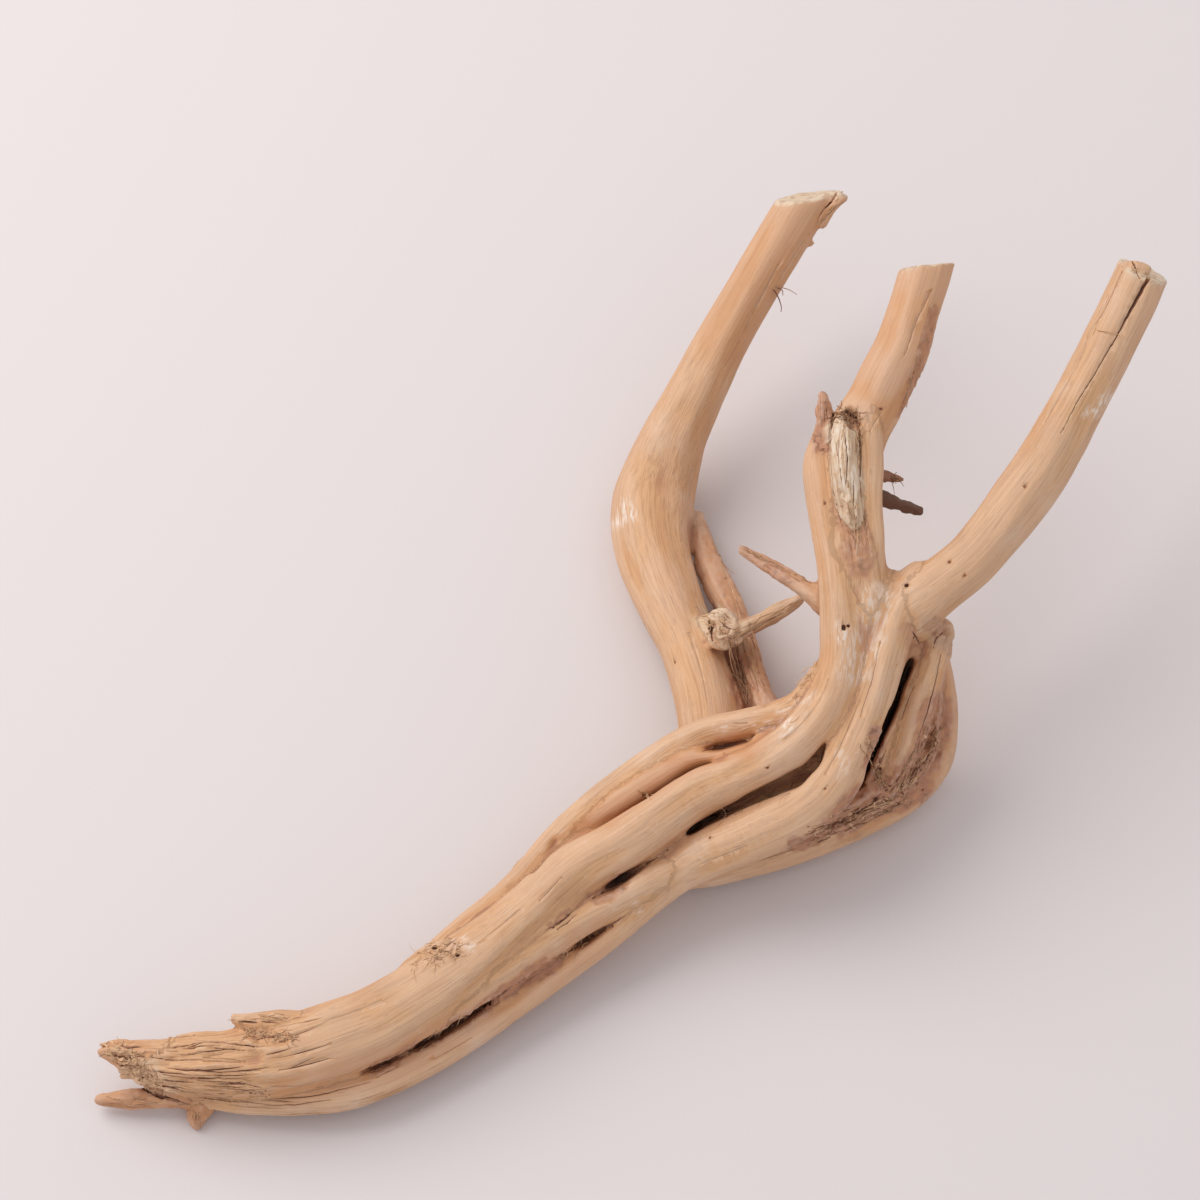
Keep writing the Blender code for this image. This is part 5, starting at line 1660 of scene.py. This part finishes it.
def matte_painted_board(settings):
    """Board painted a plain pale grey that dried matte: an even floor without pattern or gloss."""
    material = bpy.data.materials.new("matte_painted_board")
    material.use_nodes = True
    surface = material.node_tree.nodes["Principled BSDF"]
    surface.inputs["Base Color"].default_value = (*settings.floor, 1.0)
    surface.inputs["Roughness"].default_value = FLOOR_ROUGHNESS
    return material


def finish_piece(piece, material):
    """Gives a piece its material and its place on the wood."""
    piece.data.materials.clear()
    piece.data.materials.append(material)
    piece.data.shade_smooth()
    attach(piece, "root")


class DRIFTWOOD_OT_skin(bpy.types.Operator):
    """Grows the wood's fine skin over its strands, with the relief of its grain"""

    bl_idname = "driftwood.skin"
    bl_label = "Weathered skin"

    def execute(self, context):
        settings = context.scene.driftwood
        voxel = FINE_VOXEL
        skin = grown_skin(voxel)
        ease_surface(skin.data, voxel)
        places, _, _ = mesh_arrays(skin.data)
        refine(skin.data, near_detail(Survey(places)))
        places, normals, _ = mesh_arrays(skin.data)
        survey = Survey(places)
        move = relief_of(survey, places, normals, settings.relief / MM)
        set_places(skin.data, kept_in_box(places + normals * move[:, None]))
        skin.data.calc_loop_triangles()
        thin = skin.modifiers.new("thin", "DECIMATE")
        thin.ratio = min(1.0, SKIN_TRIANGLES / len(skin.data.loop_triangles))
        thin.use_collapse_triangulate = True
        apply_modifiers(skin)
        surface = Surface(skin)
        open_cracks(skin, surface)
        dress(skin.data, surface)
        finish_piece(skin, weathered_driftwood(settings))
        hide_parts("driftwood")
        return {"FINISHED"}


class DRIFTWOOD_OT_fibres(bpy.types.Operator):
    """Lays the torn wood's loose fibres and the root hairs on the skin"""

    bl_idname = "driftwood.fibres"
    bl_label = "Loose fibres"

    def execute(self, context):
        surface = Surface(bpy.data.objects["driftwood_skin"])
        chance = np.random.default_rng(SEED + 1)

        def fill(mesh):
            for half_width, tone, points in HAIRS.values():
                places = laid_on(surface, resampled(points, STROKE_STEP))
                if places is not None:
                    add_fibre(mesh, places, half_width, tone)
            for points, reach, count, length, half_width, lift, turn, tone in FUZZ.values():
                for _ in range(count):
                    rows = seeded_fibre(points, reach, length, lift, turn, chance)
                    places = laid_on(surface, rows)
                    if places is not None:
                        own = float(np.clip(tone + chance.normal(0, 0.22), 0, 1))
                        add_fibre(mesh, places, half_width * chance.uniform(0.6, 1.4), own)

        fibres = object_from("loose_fibres", fill)
        finish_piece(fibres, dry_root_fibre(context.scene.driftwood))
        return {"FINISHED"}


class DRIFTWOOD_OT_crumbs(bpy.types.Operator):
    """Scatters the crumbs of bark and rotten wood where the skin is rough"""

    bl_idname = "driftwood.crumbs"
    bl_label = "Bark crumbs"

    def execute(self, context):
        surface = Surface(bpy.data.objects["driftwood_skin"])
        chance = np.random.default_rng(SEED + 2)

        def fill(mesh):
            shape = ball()
            for points, reach, count, size, tone in CRUMBS.values():
                rows = resampled(points, STROKE_STEP)
                for _ in range(count):
                    at = rows[chance.integers(0, len(rows))] + chance.normal(0, reach * 0.5, 2)
                    met = surface.seen_at(*at)
                    if met:
                        place, normal, _ = met
                        own = float(np.clip(tone + chance.normal(0, 0.25), 0, 1))
                        radius = size * chance.uniform(0.4, 1.1)
                        add_crumb(mesh, shape, place, normal, radius, own, chance)

        crumbs = object_from("bark_crumbs", fill)
        finish_piece(crumbs, flaked_inner_bark(context.scene.driftwood))
        return {"FINISHED"}


def aim(thing, eye, target):
    """Places a light or a camera at the eye, looking at the target."""
    thing.location = Vector(eye) * MM
    thing.rotation_mode = "QUATERNION"
    thing.rotation_quaternion = (Vector(target) - Vector(eye)).to_track_quat("-Z", "Y")


class DRIFTWOOD_OT_stage(bpy.types.Operator):
    """Lays the plain floor and sets the soft light and the camera"""

    bl_idname = "driftwood.stage"
    bl_label = "Floor, light and camera"

    def execute(self, context):
        scene = context.scene
        settings = scene.driftwood_stage
        floor = object_from("floor", lambda mesh: bmesh.ops.create_grid(mesh, size=FLOOR_HALF_WIDTH))
        floor.data.materials.append(matte_painted_board(settings))

        softbox = bpy.data.lights.new("softbox", "AREA")
        softbox.shape = "DISK"
        softbox.size = LAMP_WIDTH
        softbox.energy = settings.key_power
        softbox.color = LAMP_TINT
        lamp = bpy.data.objects.new("softbox", softbox)
        scene.collection.objects.link(lamp)
        aim(lamp, LAMP_PLACE, LAMP_TARGET)

        world = bpy.data.worlds.new("studio")
        world.use_nodes = True
        background = world.node_tree.nodes["Background"]
        background.inputs["Color"].default_value = SKY_TINT
        background.inputs["Strength"].default_value = settings.sky
        scene.world = world
        scene.view_settings.view_transform = "Standard"

        camera = bpy.data.cameras.new("camera")
        camera.sensor_width = SENSOR_WIDTH
        camera.lens = camera.sensor_width * VIEW_DISTANCE / PICTURE_WIDTH
        eye = bpy.data.objects.new("camera", camera)
        scene.collection.objects.link(eye)
        aim(eye, EYE, PICTURE_CENTRE)
        scene.camera = eye
        return {"FINISHED"}


class DRIFTWOOD_PT_panel(bpy.types.Panel):
    """Lists the pieces of the driftwood and their settings"""

    bl_label = "Driftwood"
    bl_idname = "DRIFTWOOD_PT_panel"
    bl_space_type = "VIEW_3D"
    bl_region_type = "UI"
    bl_category = "Driftwood"

    def draw(self, context):
        layout = self.layout
        for operator in OPERATORS:
            layout.operator(operator.bl_idname)
        for settings in (context.scene.driftwood, context.scene.driftwood_stage):
            for name in settings.bl_rna.properties.keys():
                if name not in ("rna_type", "name"):
                    layout.prop(settings, name)


OPERATORS = (DRIFTWOOD_OT_skin, DRIFTWOOD_OT_fibres, DRIFTWOOD_OT_crumbs, DRIFTWOOD_OT_stage)
CLASSES = (DriftwoodSettings, StageSettings, *OPERATORS, DRIFTWOOD_PT_panel)


def register():
    """Adds the classes, and their settings to the scene."""
    for each in CLASSES:
        bpy.utils.register_class(each)
    bpy.types.Scene.driftwood = PointerProperty(type=DriftwoodSettings)
    bpy.types.Scene.driftwood_stage = PointerProperty(type=StageSettings)


def unregister():
    """Takes the settings and the classes out again."""
    del bpy.types.Scene.driftwood_stage
    del bpy.types.Scene.driftwood
    for each in reversed(CLASSES):
        bpy.utils.unregister_class(each)


def main():
    """Makes every piece and the stage."""
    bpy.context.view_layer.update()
    register()
    bpy.ops.driftwood.skin()
    bpy.ops.driftwood.fibres()
    bpy.ops.driftwood.crumbs()
    bpy.ops.driftwood.stage()


if __name__ == "__main__":
    main()
